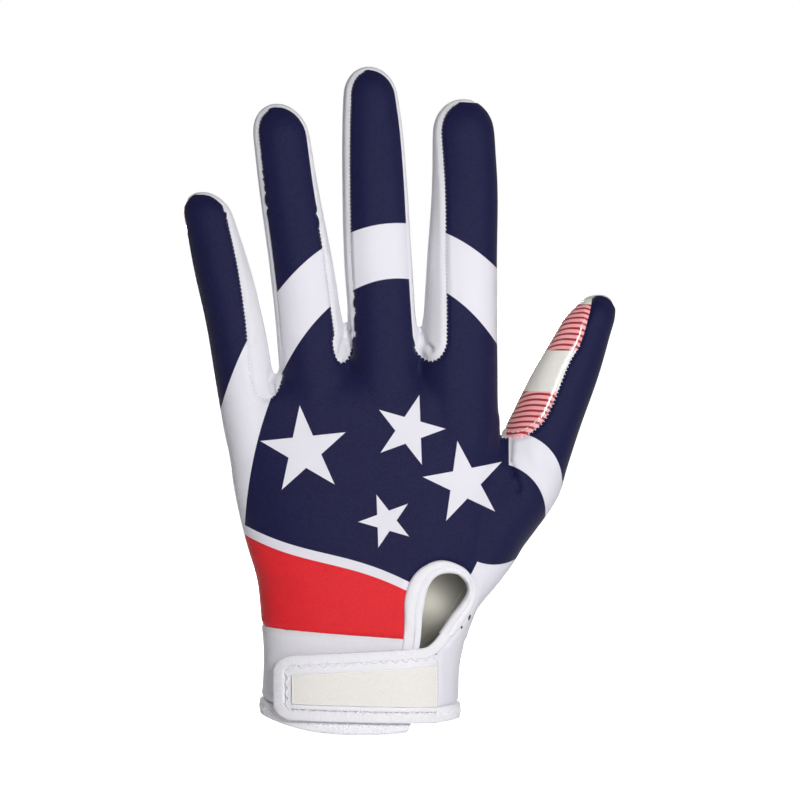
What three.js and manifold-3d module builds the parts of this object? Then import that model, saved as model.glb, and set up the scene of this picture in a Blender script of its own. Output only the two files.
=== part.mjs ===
// Left-hand football glove, worn shape: fingers up (+Z), back of the hand towards -Y, thumb at +X.
// The origin is the centre of the wrist opening, at the lowest level of its hem. Millimetres.
import * as THREE from "three";
import { mergeVertices } from "three/addons/utils/BufferGeometryUtils.js";
import Module from "manifold-3d";

const wasm = await Module();
wasm.setup();

// Driving dimensions
const wall = 1.2; // thickness of the fabric and of the coated palm
const seamGap = 0.3; // clearance between neighbouring panels
const hemHeight = 5.5; // height of the bound hem round the wrist
const hemRise = 6; // how much higher the hem sits at the sides of the wrist than at its middle
const hemProud = 0.7; // how far the folded tape stands out from the fabric, in and out
const wristHalfWidth = 34;
const flapEdge = 26.6; // x of the seam where the closure strap is sewn to the wrist flap
const flapSide = -3; // y of the side seam that closes the flap
const bindingWidth = 3.7; // tape round the edge of the strap
const strapThickness = 1.4;
const strapClearance = 1.6; // the strap lies on the hook patch, this far above the cuff
const padThickness = 0.8;
const farAway = 90; // reach of the cutting prisms past the glove
const highUp = 260;

// Rows of numbers under named columns
function table(columns, rows) {
  return rows.map((row) => Object.fromEntries(columns.map((name, i) => [name, row[i]])));
}

const sectionColumns = ["z", "x", "halfWidth", "y", "halfDepth"];

// Hollow forms that the hand fills: one section a row, rounded off at the tip
const forms = {
  palm: {
    sides: 26,
    power: 2.6,
    tip: 126,
    sections: table(sectionColumns, [
      [-5, 0.1, 34.1, 0, 22.0],
      [10, 0, 33.9, 0, 21.7],
      [25, 0.7, 34.0, 0, 20.8],
      [38, 2.5, 36.5, 0.3, 19.6],
      [52, 4.6, 40.1, 0.6, 18.2],
      [66, 4.0, 43.5, 0.5, 17.1],
      [80, 2.6, 45.4, 0.4, 16.2],
      [94, 1.6, 46.5, 0.1, 15.0],
      [108, 0.8, 47.5, 0, 13.2],
    ]),
  },
  pinky: {
    sides: 16,
    power: 2.1,
    tip: 186,
    sections: table(sectionColumns, [
      [68, -30.0, 6.0, 0, 5.0],
      [96, -35.0, 10.2, 0, 10.6],
      [118, -39.2, 10.2, 0.4, 10.2],
      [140, -43.0, 10.1, 1.3, 9.4],
      [160, -47.8, 9.8, 3.0, 8.7],
      [177, -52.2, 8.6, 5.2, 7.6],
    ]),
  },
  ring: {
    sides: 16,
    power: 2.1,
    tip: 216.6,
    sections: table(sectionColumns, [
      [66, -9.0, 8.0, 0, 6.0],
      [96, -13.0, 12.4, 0, 13.2],
      [118, -14.8, 12.7, 0, 12.2],
      [140, -17.4, 12.2, 0.9, 11.0],
      [162, -20.5, 11.1, 2.3, 10.0],
      [186, -24.5, 10.4, 4.6, 9.1],
      [205, -27.2, 9.9, 6.8, 8.2],
    ]),
  },
  middle: {
    sides: 16,
    power: 2.1,
    tip: 229.4,
    sections: table(sectionColumns, [
      [66, 8.0, 8.0, 0, 6.0],
      [96, 8.9, 12.4, 0, 13.4],
      [118, 8.7, 13.1, 0, 12.4],
      [140, 7.7, 12.4, 0.5, 11.4],
      [164, 6.1, 11.8, 1.7, 10.4],
      [190, 5.0, 11.3, 3.8, 9.5],
      [208, 4.2, 10.5, 5.9, 8.7],
      [218, 3.6, 9.6, 7.2, 7.9],
    ]),
  },
  index: {
    sides: 16,
    power: 2.1,
    tip: 218.1,
    sections: table(sectionColumns, [
      [66, 30.0, 8.0, 0, 6.0],
      [96, 33.2, 13.8, 0, 12.8],
      [118, 33.4, 14.1, 0, 12.2],
      [140, 34.4, 12.9, 0.6, 11.2],
      [164, 35.2, 12.1, 2.0, 10.2],
      [186, 36.1, 11.5, 4.0, 9.3],
      [206, 35.7, 10.8, 6.4, 8.2],
    ]),
  },
  web: {
    sides: 14,
    power: 2.2,
    tip: 98,
    sections: table(sectionColumns, [
      [40, 24.0, 15.0, 1.6, 16.8],
      [58, 36.0, 17.4, 3.4, 15.4],
      [76, 46.0, 15.0, 4.2, 13.4],
      [88, 49.0, 11.0, 4.6, 11.2],
    ]),
  },
  thumb: {
    sides: 16,
    power: 2.1,
    tip: 150.4,
    sections: table(sectionColumns, [
      [36, 20.0, 14.5, 2.0, 17.0],
      [50, 28.4, 17.5, 3.4, 16.6],
      [66, 40.0, 18.6, 4.8, 15.8],
      [80, 51.4, 17.0, 6.0, 14.5],
      [90, 56.4, 15.2, 7.0, 13.4],
      [104, 62.8, 13.4, 8.8, 12.0],
      [122, 70.6, 12.1, 11.0, 10.5],
      [138, 77.6, 9.7, 12.6, 8.8],
    ]),
  },
};

// Where the seams of the finger strips lie, in from the finger's outline at its root and near its tip.
// A negative distance wraps the strip past the outline. The last column is the distance below the fingertip.
const stripColumns = ["finger", "leftRoot", "leftTip", "rightRoot", "rightTip", "top"];
const backStrips = table(stripColumns, [
  ["pinky", -12, -12, 7.8, 2.0, 1.2],
  ["ring", 1.5, 1.2, 4.2, 1.6, 1.6],
  ["middle", 2.2, 2.8, 1.9, 1.6, 1.6],
  ["index", 8.6, 2.4, -12, -12, 1.4],
]);
const palmStrips = table(stripColumns, [
  ["pinky", -12, -12, 2.6, 1.8, 3.4],
  ["ring", 1.6, 1.6, 2.8, 2.4, 4.0],
  ["middle", 1.6, 1.6, 2.4, 2.4, 4.8],
  ["index", 2.0, 1.8, -12, -12, 3.0],
]);

// Rounded bottom of the seam between one finger and the next: its middle, half width, lowest point and height
const crotchColumns = ["x", "halfWidth", "z", "height"];
const backCrotches = table(crotchColumns, [
  [-32.3, 5.5, 114.5, 10.5],
  [-5.9, 3.3, 127, 9.8],
  [24.2, 5.7, 127.6, 8.6],
]);
const palmCrotches = table(crotchColumns, [
  [-31.0, 2.4, 114, 8],
  [-6.2, 2.2, 126, 8],
  [22.0, 2.4, 126, 8],
]);

// Where the side seam runs between the back and the palm, by height
const sideSeamColumns = ["z", "pinkySide", "indexSide", "thumbSide"];
const sideSeam = table(sideSeamColumns, [
  [-10, 0, 0, 3],
  [60, 0.4, 3, 6],
  [100, 0, 3, 8.6],
  [136, 1.0, 3.4, 12.4],
  [170, 4.0, 5.4, 14],
  [206, 7.0, 9.4, 15],
  [240, 10, 12, 16],
]);

// Seam on the inner edge of the thumb, where the coated palm comes round to the back
const thumbSeam = [
  [48.9, 101.2],
  [54.0, 101.0],
  [58.4, 102.6],
  [64.6, 108.9],
  [71.8, 125.9],
  [76.4, 133.8],
  [79.6, 144.8],
];

// Seam on the outer edge of the thumb, where the fabric of the back comes round to the palm
const thumbWrap = [
  [83.8, 147.0],
  [84.6, 138.0],
  [80.0, 125.0],
  [73.7, 110.0],
  [67.3, 97.0],
  [60.0, 79.0],
  [45.8, 61.0],
  [33.0, 43.0],
  [25.0, 26.0],
];

// Outer edge and inner edge of the tape that binds the keyhole above the strap
const keyholeOuter = [
  [13.4, 20],
  [15.0, 32],
  [15.3, 38],
  [15.5, 47],
  [18.5, 54.4],
  [24.2, 58.6],
  [29.9, 59.3],
  [36.3, 56.3],
  [39.6, 51],
  [39.8, 46.5],
  [37.6, 41],
  [33.6, 35.4],
  [29.8, 30.3],
];
const keyholeInner = [
  [17.7, 20],
  [20.6, 30],
  [21.5, 39.7],
  [23, 48.4],
  [25.3, 52.9],
  [28.7, 54.8],
  [33.6, 54.4],
  [36.6, 51.4],
  [37.0, 48],
  [35.2, 44.6],
  [32.1, 40.8],
  [28.4, 35.9],
  [25.7, 32.1],
  [23.8, 30.2],
];

// Outline of the closure strap: a rounded free end at the left
const strap = { left: -27.4, right: 26.3, bottom: 4.2, topLeft: 26.6, topRight: 29.7, corner: 5 };
const pad = { left: -21.4, right: 25.2, bottom: 9.8, topLeft: 20.8, topRight: 23.4, corner: 0.8 };
const patch = { left: -21, right: 8, bottom: 9, topLeft: 21, topRight: 22, corner: 1 };

const clamp01 = (value) => Math.min(1, Math.max(0, value));
const mix = (a, b, t) => a + (b - a) * t;

// A table read at any height, on past its ends for the curve of a tip
function readTable(rows, z) {
  let i = 1;
  while (i < rows.length - 1 && rows[i].z < z) i += 1;
  const low = rows[i - 1];
  const high = rows[i];
  const t = (z - low.z) / (high.z - low.z);
  const result = {};
  for (const name of Object.keys(low)) result[name] = mix(low[name], high[name], t);
  return result;
}

// Rings of a form from its foot to its tip: height, and how far the tip has narrowed it
function ringsOf(form, grow, drop) {
  const rows = form.sections;
  const capStart = rows[rows.length - 1].z;
  const capHeight = form.tip + grow - capStart;
  const rings = rows.map((row, i) => ({ ...row, z: i === 0 ? row.z - drop : row.z, narrow: 1 }));
  const capAngles = [28, 56, 90];
  for (const degrees of capAngles) {
    const angle = THREE.MathUtils.degToRad(degrees);
    const z = capStart + capHeight * Math.sin(angle);
    const place = readTable(rows, z);
    const last = rows[rows.length - 1];
    rings.push({
      z,
      x: place.x,
      y: place.y,
      halfWidth: last.halfWidth,
      halfDepth: last.halfDepth,
      narrow: degrees === 90 ? 0 : Math.cos(angle),
    });
  }
  return rings;
}

// One point of a rounded section
function sectionPoint(ring, angle, power, grow) {
  const across = -Math.cos(angle);
  const deep = -Math.sin(angle);
  const bulge = (value) => Math.sign(value) * Math.abs(value) ** (2 / power);
  return [
    ring.x + (ring.halfWidth + grow) * ring.narrow * bulge(across),
    ring.y + (ring.halfDepth + grow) * ring.narrow * bulge(deep),
    ring.z,
  ];
}

// A closed form lofted through its rings, on the grid of a sphere whose poles close its two ends
function loft(form, grow = 0, drop = 0) {
  const rings = ringsOf(form, grow, drop).reverse();
  rings.push({ ...rings[rings.length - 1], narrow: 0 });
  const grid = new THREE.SphereGeometry(1, form.sides, rings.length - 1);
  const spots = grid.attributes.position;
  rings.forEach((ring, row) => {
    for (let column = 0; column <= form.sides; column += 1) {
      const angle = ((column % form.sides) / form.sides) * 2 * Math.PI;
      spots.setXYZ(row * (form.sides + 1) + column, ...sectionPoint(ring, angle, form.power, grow));
    }
  });
  return solidOf(grid);
}

// A closed three.js geometry as a solid that can be joined and cut
function solidOf(geometry) {
  const bare = geometry.clone();
  bare.deleteAttribute("normal");
  bare.deleteAttribute("uv");
  const merged = mergeVertices(bare, 1e-4);
  return new wasm.Manifold(
    new wasm.Mesh({
      numProp: 3,
      vertProperties: merged.attributes.position.array,
      triVerts: new Uint32Array(merged.index.array),
    }),
  );
}

const joined = (solids) => solids.reduce((whole, next) => whole.add(next));

// An outline in the front view carried through the hand from front to back
function prism(outline, yFront = -farAway, yBack = farAway) {
  const shape = new THREE.Shape(outline.map(([x, z]) => new THREE.Vector2(x, z)));
  const body = new THREE.ExtrudeGeometry(shape, {
    depth: yBack - yFront,
    steps: 1,
    bevelEnabled: false,
  });
  body.rotateX(Math.PI / 2);
  body.translate(0, yBack, 0);
  return solidOf(body);
}

// The same outline moved outwards, or inwards where the distance is negative
function grown(outline, distance) {
  const count = outline.length;
  let area = 0;
  outline.forEach(([x, z], i) => {
    const [nextX, nextZ] = outline[(i + 1) % count];
    area += x * nextZ - nextX * z;
  });
  const side = Math.sign(area) * distance;
  const outward = (from, to) => {
    const length = Math.hypot(to[0] - from[0], to[1] - from[1]);
    return [(to[1] - from[1]) / length, (from[0] - to[0]) / length];
  };
  return outline.map((point, i) => {
    const before = outward(outline[(i + count - 1) % count], point);
    const after = outward(point, outline[(i + 1) % count]);
    const sum = [before[0] + after[0], before[1] + after[1]];
    const share = Math.max(0.5, (sum[0] ** 2 + sum[1] ** 2) / 2);
    return [point[0] + (sum[0] / share) * side, point[1] + (sum[1] / share) * side];
  });
}

// A smooth run of points through a few chosen ones
function smooth(points, steps) {
  const curve = new THREE.SplineCurve(points.map(([x, z]) => new THREE.Vector2(x, z)));
  return curve.getPoints(steps).map((point) => [point.x, point.y]);
}

// A block whose faces follow a function: the grid of a box with every vertex placed by it
function block(size, cells, place) {
  const box = new THREE.BoxGeometry(1, 1, 1, ...cells);
  const spots = box.attributes.position;
  for (let i = 0; i < spots.count; i += 1) {
    const u = spots.getX(i) + 0.5;
    const v = spots.getY(i) + 0.5;
    const w = spots.getZ(i) + 0.5;
    const x = mix(size.x[0], size.x[1], u);
    const y = mix(size.y[0], size.y[1], v);
    const z = mix(size.z[0], size.z[1], w);
    spots.setXYZ(i, ...place(x, y, z, u, v, w));
  }
  return solidOf(box);
}

// Side seam surface between the back half and the palm half of the hand
function seamY(x, z) {
  const row = readTable(sideSeam, z);
  const overHand = mix(row.pinkySide, row.indexSide, clamp01((x + 45) / 90));
  return mix(overHand, row.thumbSide, clamp01((x - 48) / 14));
}

function backHalf(shift = 0) {
  const size = { x: [-95, 105], y: [-farAway, 0], z: [-20, 250] };
  return block(size, [8, 1, 8], (x, y, z, u, v) => [x, v > 0.5 ? seamY(x, z) + shift : y, z]);
}

function palmHalf(shift = 0) {
  const size = { x: [-95, 105], y: [0, farAway], z: [-20, 250] };
  return block(size, [8, 1, 8], (x, y, z, u, v) => [x, v < 0.5 ? seamY(x, z) - shift : y, z]);
}

// Levels of the hem and of the top of the cuff, round the wrist
const hemBottom = (x) => hemRise * Math.min(1.1, Math.abs(x) / wristHalfWidth) ** 2.4;
const hemTop = (x) => hemBottom(x) + hemHeight;

// Seam between the cuff and the panels: straight across the back, lowest near the middle of the palm
const cuffSeam = { backLeft: 36.2, backRight: 31.2, palmLow: 25.6, palmLowX: 4, riseLeft: 10.6, riseRight: 4.2 };

function cuffTop(x, y) {
  const back = mix(cuffSeam.backLeft, cuffSeam.backRight, clamp01(x / (2 * wristHalfWidth) + 0.5));
  const away = x - cuffSeam.palmLowX;
  const rise = away < 0 ? cuffSeam.riseLeft : cuffSeam.riseRight;
  const palm = cuffSeam.palmLow + rise * Math.min(1.1, Math.abs(away) / wristHalfWidth) ** 2;
  return mix(back, palm, clamp01(y / 12 + 0.5));
}

function band(low, high) {
  const size = { x: [-95, 105], y: [-30, 30], z: [0, 1] };
  return block(size, [20, 10, 1], (x, y, z, u, v, w) => [x, y, w < 0.5 ? low(x, y) : high(x, y)]);
}

// Outline of a set of finger strips joined to the hand below them
function stripOutline(strips, crotches) {
  const outline = [];
  strips.forEach((strip, number) => {
    const rows = forms[strip.finger].sections;
    const last = rows[rows.length - 1];
    const tip = forms[strip.finger].tip;
    const before = crotches[Math.max(0, number - 1)];
    const after = crotches[Math.min(crotches.length - 1, number)];
    const shares = [0, 1 / 3, 2 / 3, 1];
    const left = shares.map((t) => {
      const z = mix(before.z + before.height, last.z, t);
      const row = readTable(rows, z);
      return [row.x - row.halfWidth + mix(strip.leftRoot, strip.leftTip, t), z];
    });
    const right = shares.map((t) => {
      const z = mix(after.z + after.height, last.z, t);
      const row = readTable(rows, z);
      return [row.x + row.halfWidth - mix(strip.rightRoot, strip.rightTip, t), z];
    });
    const over = [150, 120, 90, 60, 30].map((degrees) => {
      const angle = THREE.MathUtils.degToRad(degrees);
      const z = mix(last.z, tip - strip.top, Math.sin(angle));
      const inset = degrees > 90 ? strip.leftTip : strip.rightTip;
      return [readTable(rows, z).x + (last.halfWidth - inset) * Math.cos(angle), z];
    });
    outline.push(...left, ...over, ...right.reverse());
    if (number < crotches.length) {
      for (const degrees of [200, 235, 270, 305, 340]) {
        const angle = THREE.MathUtils.degToRad(degrees);
        const z = after.z + after.height * (1 + Math.sin(angle));
        outline.push([after.x + after.halfWidth * Math.cos(angle), z]);
      }
    }
  });
  return outline;
}

const pinkySideDown = [
  [-72, -20],
  [-72, 120],
];
const indexSideDown = [
  [50.5, 150],
  [49.4, 112],
];

const backOutline = [
  ...pinkySideDown,
  ...stripOutline(backStrips, backCrotches),
  ...indexSideDown,
  ...smooth(thumbSeam, 9),
  [82.0, 160],
  [100, 160],
  [100, -20],
];
const palmOutline = [
  ...pinkySideDown,
  ...stripOutline(palmStrips, palmCrotches),
  ...indexSideDown,
  [52, 160],
  [100, 160],
  [100, -20],
];
const wrapOutline = [...smooth(thumbWrap, 11), [25, -20], [100, -20], [100, 147]];
const thumbZone = [
  [48.2, 98.5],
  [100, 98.5],
  [100, 160],
  [50.4, 160],
];

// Where the panels of the back lie, and with a gap added, where no other panel may be
function backZone(gap = 0) {
  return prism(grown(backOutline, gap)).intersect(backHalf(gap)).add(prism(grown(wrapOutline, gap)));
}

function palmZone(gap = 0) {
  const fingersAndPalm = prism(grown(palmOutline, gap)).intersect(palmHalf(gap));
  return fingersAndPalm.add(prism(grown(thumbZone, gap)));
}

// The notch that the keyhole and the slit under the strap take out of the back
const keyholeEdge = smooth(keyholeOuter, 15);
const notchOutline = [[13.2, -20], ...keyholeEdge, [flapEdge, 29.9], [flapEdge, -20]];

// The hollow shell that all panels are cut from
const formList = Object.values(forms);
const outerForm = joined(formList.map((form) => loft(form)));
const innerForm = joined(formList.map((form) => loft(form, -wall, form === forms.palm ? 10 : 0)));
const shell = outerForm.subtract(innerForm);

// Height of the back's outer skin over the front view
function skinY(x, z) {
  let nearest = 0;
  for (const form of formList) {
    const rows = form.sections;
    if (z < rows[0].z || z > rows[rows.length - 1].z) continue;
    const row = readTable(rows, z);
    const share = Math.abs(x - row.x) / row.halfWidth;
    if (share < 1) {
      const depth = row.halfDepth * (1 - share ** form.power) ** (1 / form.power);
      nearest = Math.min(nearest, row.y - depth);
    }
  }
  return nearest;
}

// A point of the back's skin lifted straight off it
function lifted(x, z, lift) {
  const step = 0.5;
  const slopeX = (skinY(x + step, z) - skinY(x - step, z)) / (2 * step);
  const slopeZ = (skinY(x, z + step) - skinY(x, z - step)) / (2 * step);
  const normal = new THREE.Vector3(slopeX, -1, slopeZ).normalize();
  return [x + normal.x * lift, skinY(x, z) + normal.y * lift, z + normal.z * lift];
}

// A layer of even thickness that lies on the back between two lifts
function layer(size, cells, liftIn, liftOut) {
  const place = (x, y, z, u, v) => lifted(x, z, v < 0.5 ? liftOut(x, z) : liftIn(x, z));
  return block({ ...size, y: [0, 1] }, [cells[0], 1, cells[1]], place);
}

// A straight band with a rounded free end at the left
function strapOutline(form, inset = 0, openEnd = 0) {
  const left = form.left + inset;
  const right = form.right + openEnd;
  const radius = Math.max(0.4, form.corner - inset);
  const topAt = (x) => mix(form.topLeft, form.topRight, (x - form.left) / (form.right - form.left)) - inset;
  const bottom = form.bottom + inset;
  const outline = [
    [right, bottom],
    [right, topAt(right)],
  ];
  const corners = [
    [left + radius, topAt(left + radius) - radius, 90],
    [left + radius, bottom + radius, 180],
  ];
  for (const [x, z, start] of corners) {
    for (const turn of [0, 30, 60, 90]) {
      const angle = THREE.MathUtils.degToRad(start + turn);
      outline.push([x + radius * Math.cos(angle), z + radius * Math.sin(angle)]);
    }
  }
  return outline;
}

const largest = (solid) =>
  solid.decompose().reduce((best, next) => (next.volume() > best.volume() ? next : best));

// Panels of the hand
const notch = prism(notchOutline, -farAway, 0);
const aboveCuff = band((x, y) => cuffTop(x, y) + seamGap, () => highUp);
const flapZone = prism(
  [
    [flapEdge, -20],
    [flapEdge, 34],
    [60, 34],
    [60, -20],
  ],
  -farAway,
  flapSide,
).intersect(band((x) => hemTop(x) + seamGap, () => highUp));

function makeBackPanel() {
  return largest(shell.intersect(backZone()).intersect(aboveCuff.add(flapZone)).subtract(notch));
}

function makePalmPanel() {
  return largest(shell.intersect(palmZone()).subtract(backZone(seamGap)).intersect(aboveCuff));
}

// One strip between two fingers, from the tip of one, down to the crotch and up to the tip of the next
function makeFourchette(leftEdge, rightEdge) {
  const zone = prism([...leftEdge, ...rightEdge.reverse()]);
  return largest(shell.intersect(zone).subtract(backZone(seamGap)).subtract(palmZone(seamGap)));
}

// The middle line of a finger, moved sideways, as the border between the strips on its two sides
function middleLine(name, shift) {
  const form = forms[name];
  return [104, 150, 190, form.tip + 8].map((z) => [readTable(form.sections, z).x + shift, z]);
}

// Wrist pieces
function makeCuff() {
  const zone = band((x) => hemTop(x) + seamGap, cuffTop);
  const opened = prism(
    [
      [13, -20],
      [13, 60],
      [60, 60],
      [60, -20],
    ],
    -farAway,
    flapSide + seamGap,
  );
  return largest(shell.intersect(zone).subtract(opened).subtract(notch));
}

function makeHemBinding() {
  const outside = loft(forms.palm, hemProud, 0);
  const inside = loft(forms.palm, -wall - hemProud, 10);
  const opened = prism(
    [
      [17.4, -20],
      [17.4, 40],
      [flapEdge, 40],
      [flapEdge, -20],
    ],
    -farAway,
    0,
  );
  return largest(outside.subtract(inside).intersect(band(hemBottom, hemTop)).subtract(opened));
}

function makeKeyholeBinding() {
  const proud = (x, z) => mix(0.1, 1.2, clamp01((z - 33) / 4));
  const tape = layer({ x: [12, 41.5], z: [5.5, 61] }, [7, 10], () => -wall, proud);
  const inner = [[17.4, -20], ...smooth(keyholeInner, 15), [23.8, -20]];
  const underStrap = [
    [19, -20],
    [19, 28],
    [23.2, 30.2],
    [50, 30.2],
    [50, -20],
  ];
  const lowerEnd = [
    [0, -20],
    [0, hemTop(17.4) + seamGap],
    [30, hemTop(17.4) + seamGap],
    [30, -20],
  ];
  return largest(
    tape
      .intersect(prism(grown(notchOutline, -seamGap)))
      .subtract(prism(inner))
      .subtract(prism(underStrap))
      .subtract(prism(lowerEnd)),
  );
}

// The strap runs level over the cuff, then comes down to the flap that it is sewn to
const rampStart = 16;
const strapLift = (x) => mix(strapClearance, -0.9, clamp01((x - rampStart) / (strap.right - rampStart)));
const strapArea = { x: [-30, 28], z: [2, 32] };
const strapCells = [12, 2];

function strapLayer(from, to) {
  return layer(strapArea, strapCells, (x) => strapLift(x) + from, (x) => strapLift(x) + to);
}

function makeStrap() {
  return strapLayer(0, strapThickness).intersect(prism(strapOutline(strap, bindingWidth)));
}

function makeStrapBinding() {
  const frame = prism(strapOutline(strap));
  const middle = prism(strapOutline(strap, bindingWidth - seamGap, 20));
  return largest(strapLayer(-0.25, strapThickness + 0.5).intersect(frame).subtract(middle));
}

function makeStrapPad() {
  const bottom = strapThickness + seamGap;
  return strapLayer(bottom, bottom + padThickness).intersect(prism(strapOutline(pad)));
}

function makeHookPatch() {
  const fold = layer(strapArea, strapCells, () => seamGap, () => strapClearance - seamGap);
  return fold.intersect(prism(strapOutline(patch)));
}

// Finishes, one material for each kind of cloth
const finishes = {
  print: { color: 0x23214b, roughness: 0.78 },
  coat: { color: 0xebe8e1, roughness: 0.18 },
  white: { color: 0xe6e6f0, roughness: 0.85 },
  tape: { color: 0xdedee6, roughness: 0.8 },
  strapCloth: { color: 0xe2e2e8, roughness: 0.85 },
  loop: { color: 0xeeece6, roughness: 0.95 },
  hook: { color: 0xd0d0d4, roughness: 0.7 },
};

const glove = new THREE.Group();

function addPiece(name, solid, finish) {
  const made = solid.getMesh();
  const geometry = new THREE.BufferGeometry();
  geometry.setAttribute("position", new THREE.BufferAttribute(made.vertProperties, 3));
  geometry.setIndex(new THREE.BufferAttribute(made.triVerts, 1));
  geometry.computeVertexNormals();
  const material = new THREE.MeshStandardMaterial({ ...finishes[finish], metalness: 0 });
  const piece = new THREE.Mesh(geometry, material);
  piece.name = name;
  glove.add(piece);
}

const half = seamGap / 2;
const outerLeft = [
  [-80, 104],
  [-80, 240],
];
const outerRight = [
  [49, 104],
  [52, 240],
];

addPiece("back_panel", makeBackPanel(), "print");
addPiece("palm_panel", makePalmPanel(), "coat");
addPiece("fourchette_pinky_ring", makeFourchette(outerLeft, middleLine("ring", -half)), "white");
addPiece(
  "fourchette_ring_middle",
  makeFourchette(middleLine("ring", half), middleLine("middle", -half)),
  "white",
);
addPiece("fourchette_middle_index", makeFourchette(middleLine("middle", half), outerRight), "white");
addPiece("cuff", makeCuff(), "white");
addPiece("hem_binding", makeHemBinding(), "tape");
addPiece("keyhole_binding", makeKeyholeBinding(), "tape");
addPiece("closure_strap", makeStrap(), "strapCloth");
addPiece("strap_binding", makeStrapBinding(), "tape");
addPiece("strap_pad", makeStrapPad(), "loop");
addPiece("hook_patch", makeHookPatch(), "hook");

export default glove;
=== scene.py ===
import bpy
import bmesh
import math
import numpy as np
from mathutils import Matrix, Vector
from mathutils.bvhtree import BVHTree
from mathutils.kdtree import KDTree


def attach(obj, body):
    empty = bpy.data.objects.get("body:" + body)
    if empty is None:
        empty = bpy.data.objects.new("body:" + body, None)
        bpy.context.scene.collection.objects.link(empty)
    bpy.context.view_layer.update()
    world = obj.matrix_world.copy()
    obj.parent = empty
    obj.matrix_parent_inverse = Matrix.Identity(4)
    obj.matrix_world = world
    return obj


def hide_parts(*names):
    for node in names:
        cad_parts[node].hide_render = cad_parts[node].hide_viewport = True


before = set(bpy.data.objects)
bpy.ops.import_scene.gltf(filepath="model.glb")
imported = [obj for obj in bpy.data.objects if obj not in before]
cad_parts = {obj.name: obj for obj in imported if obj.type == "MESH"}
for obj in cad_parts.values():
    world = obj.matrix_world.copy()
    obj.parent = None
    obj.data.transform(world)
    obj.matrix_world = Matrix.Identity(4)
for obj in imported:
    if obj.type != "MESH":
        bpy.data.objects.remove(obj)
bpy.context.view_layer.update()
mm = 0.001
print("frame loaded:", ", ".join(sorted(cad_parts)))

# Sections of the hollow forms that the hand fills, in millimetres: height, middle across, half width, middle
# front to back, half depth. As in the solids, but the ring and middle fingers are a little narrower.
handForms = {
    "palm": {
        "power": 2.6, "tip": 126,
        "rows": [
            (-5, 0.1, 34.1, 0, 22.0), (10, 0, 33.9, 0, 21.7), (25, 0.7, 34.0, 0, 20.8),
            (38, 2.5, 36.5, 0.3, 19.6), (52, 4.6, 40.1, 0.6, 18.2), (66, 4.0, 43.5, 0.5, 17.1),
            (80, 2.6, 45.4, 0.4, 16.2), (94, 1.6, 46.5, 0.1, 15.0), (108, 0.8, 47.5, 0, 13.2),
        ],
    },
    "pinky": {
        "power": 2.1, "tip": 186,
        "rows": [
            (68, -30.0, 6.0, 0, 5.0), (96, -35.0, 10.2, 0, 10.6), (118, -39.2, 10.2, 0.4, 10.2),
            (140, -43.0, 10.1, 1.3, 9.4), (160, -47.8, 9.8, 3.0, 8.7), (177, -52.2, 8.6, 5.2, 7.6),
        ],
    },
    "ring": {
        "power": 2.1, "tip": 216.6,
        "rows": [
            (66, -9.0, 8.0, 0, 6.0), (96, -13.0, 12.4, 0, 13.2), (118, -14.8, 12.7, 0, 12.2),
            (140, -17.5, 11.7, 0.9, 11.0), (162, -20.5, 11.1, 2.3, 10.0), (186, -24.5, 10.4, 4.6, 9.1),
            (205, -27.2, 9.9, 6.8, 8.2),
        ],
    },
    "middle": {
        "power": 2.1, "tip": 229.4,
        "rows": [
            (66, 8.0, 8.0, 0, 6.0), (96, 8.9, 12.4, 0, 13.4), (118, 8.7, 13.1, 0, 12.4),
            (140, 7.7, 11.9, 0.5, 11.4), (164, 6.1, 11.8, 1.7, 10.4), (190, 5.0, 11.3, 3.8, 9.5),
            (208, 4.2, 10.5, 5.9, 8.7), (218, 3.6, 9.6, 7.2, 7.9),
        ],
    },
    "index": {
        "power": 2.1, "tip": 218.1,
        "rows": [
            (66, 30.0, 8.0, 0, 6.0), (96, 33.2, 13.8, 0, 12.8), (118, 33.4, 14.1, 0, 12.2),
            (140, 34.4, 12.9, 0.6, 11.2), (164, 35.2, 12.1, 2.0, 10.2), (186, 36.1, 11.5, 4.0, 9.3),
            (206, 35.7, 10.8, 6.4, 8.2),
        ],
    },
    "web": {
        "power": 2.2, "tip": 98,
        "rows": [
            (40, 24.0, 15.0, 1.6, 16.8), (58, 36.0, 17.4, 3.4, 15.4), (76, 46.0, 15.0, 4.2, 13.4),
            (88, 49.0, 11.0, 4.6, 11.2),
        ],
    },
    "thumb": {
        "power": 2.1, "tip": 150.4,
        "rows": [
            (36, 20.0, 14.5, 2.0, 17.0), (50, 28.4, 17.5, 3.4, 16.6), (66, 40.0, 18.6, 4.8, 15.8),
            (80, 51.4, 17.0, 6.0, 14.5), (90, 56.4, 15.2, 7.0, 13.4), (104, 62.8, 13.4, 8.8, 12.0),
            (122, 70.6, 12.1, 11.0, 10.5), (138, 77.6, 9.7, 12.6, 8.8),
        ],
    },
}

skin = {
    "sides": 72, "ringStep": 3.0, "tipAngles": (14, 28, 42, 56, 68, 79, 87),
    "coarseVoxel": 0.75, "coarseSmooth": 22, "fineVoxel": 0.7, "fineSmooth": 6,
    "wall": 1.1, "innerVoxel": 1.3,
}


def clearSelection():
    if bpy.context.object and bpy.context.object.mode != "OBJECT":
        bpy.ops.object.mode_set(mode="OBJECT")
    bpy.ops.object.select_all(action="DESELECT")


def makeActive(piece):
    clearSelection()
    piece.select_set(True)
    bpy.context.view_layer.objects.active = piece


def editAll():
    bpy.ops.object.mode_set(mode="EDIT")
    bpy.ops.mesh.select_all(action="SELECT")


# Turns all faces outwards and leaves edit mode
def endEdit():
    bpy.ops.mesh.select_all(action="SELECT")
    bpy.ops.mesh.normals_make_consistent(inside=False)
    bpy.ops.object.mode_set(mode="OBJECT")


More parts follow.
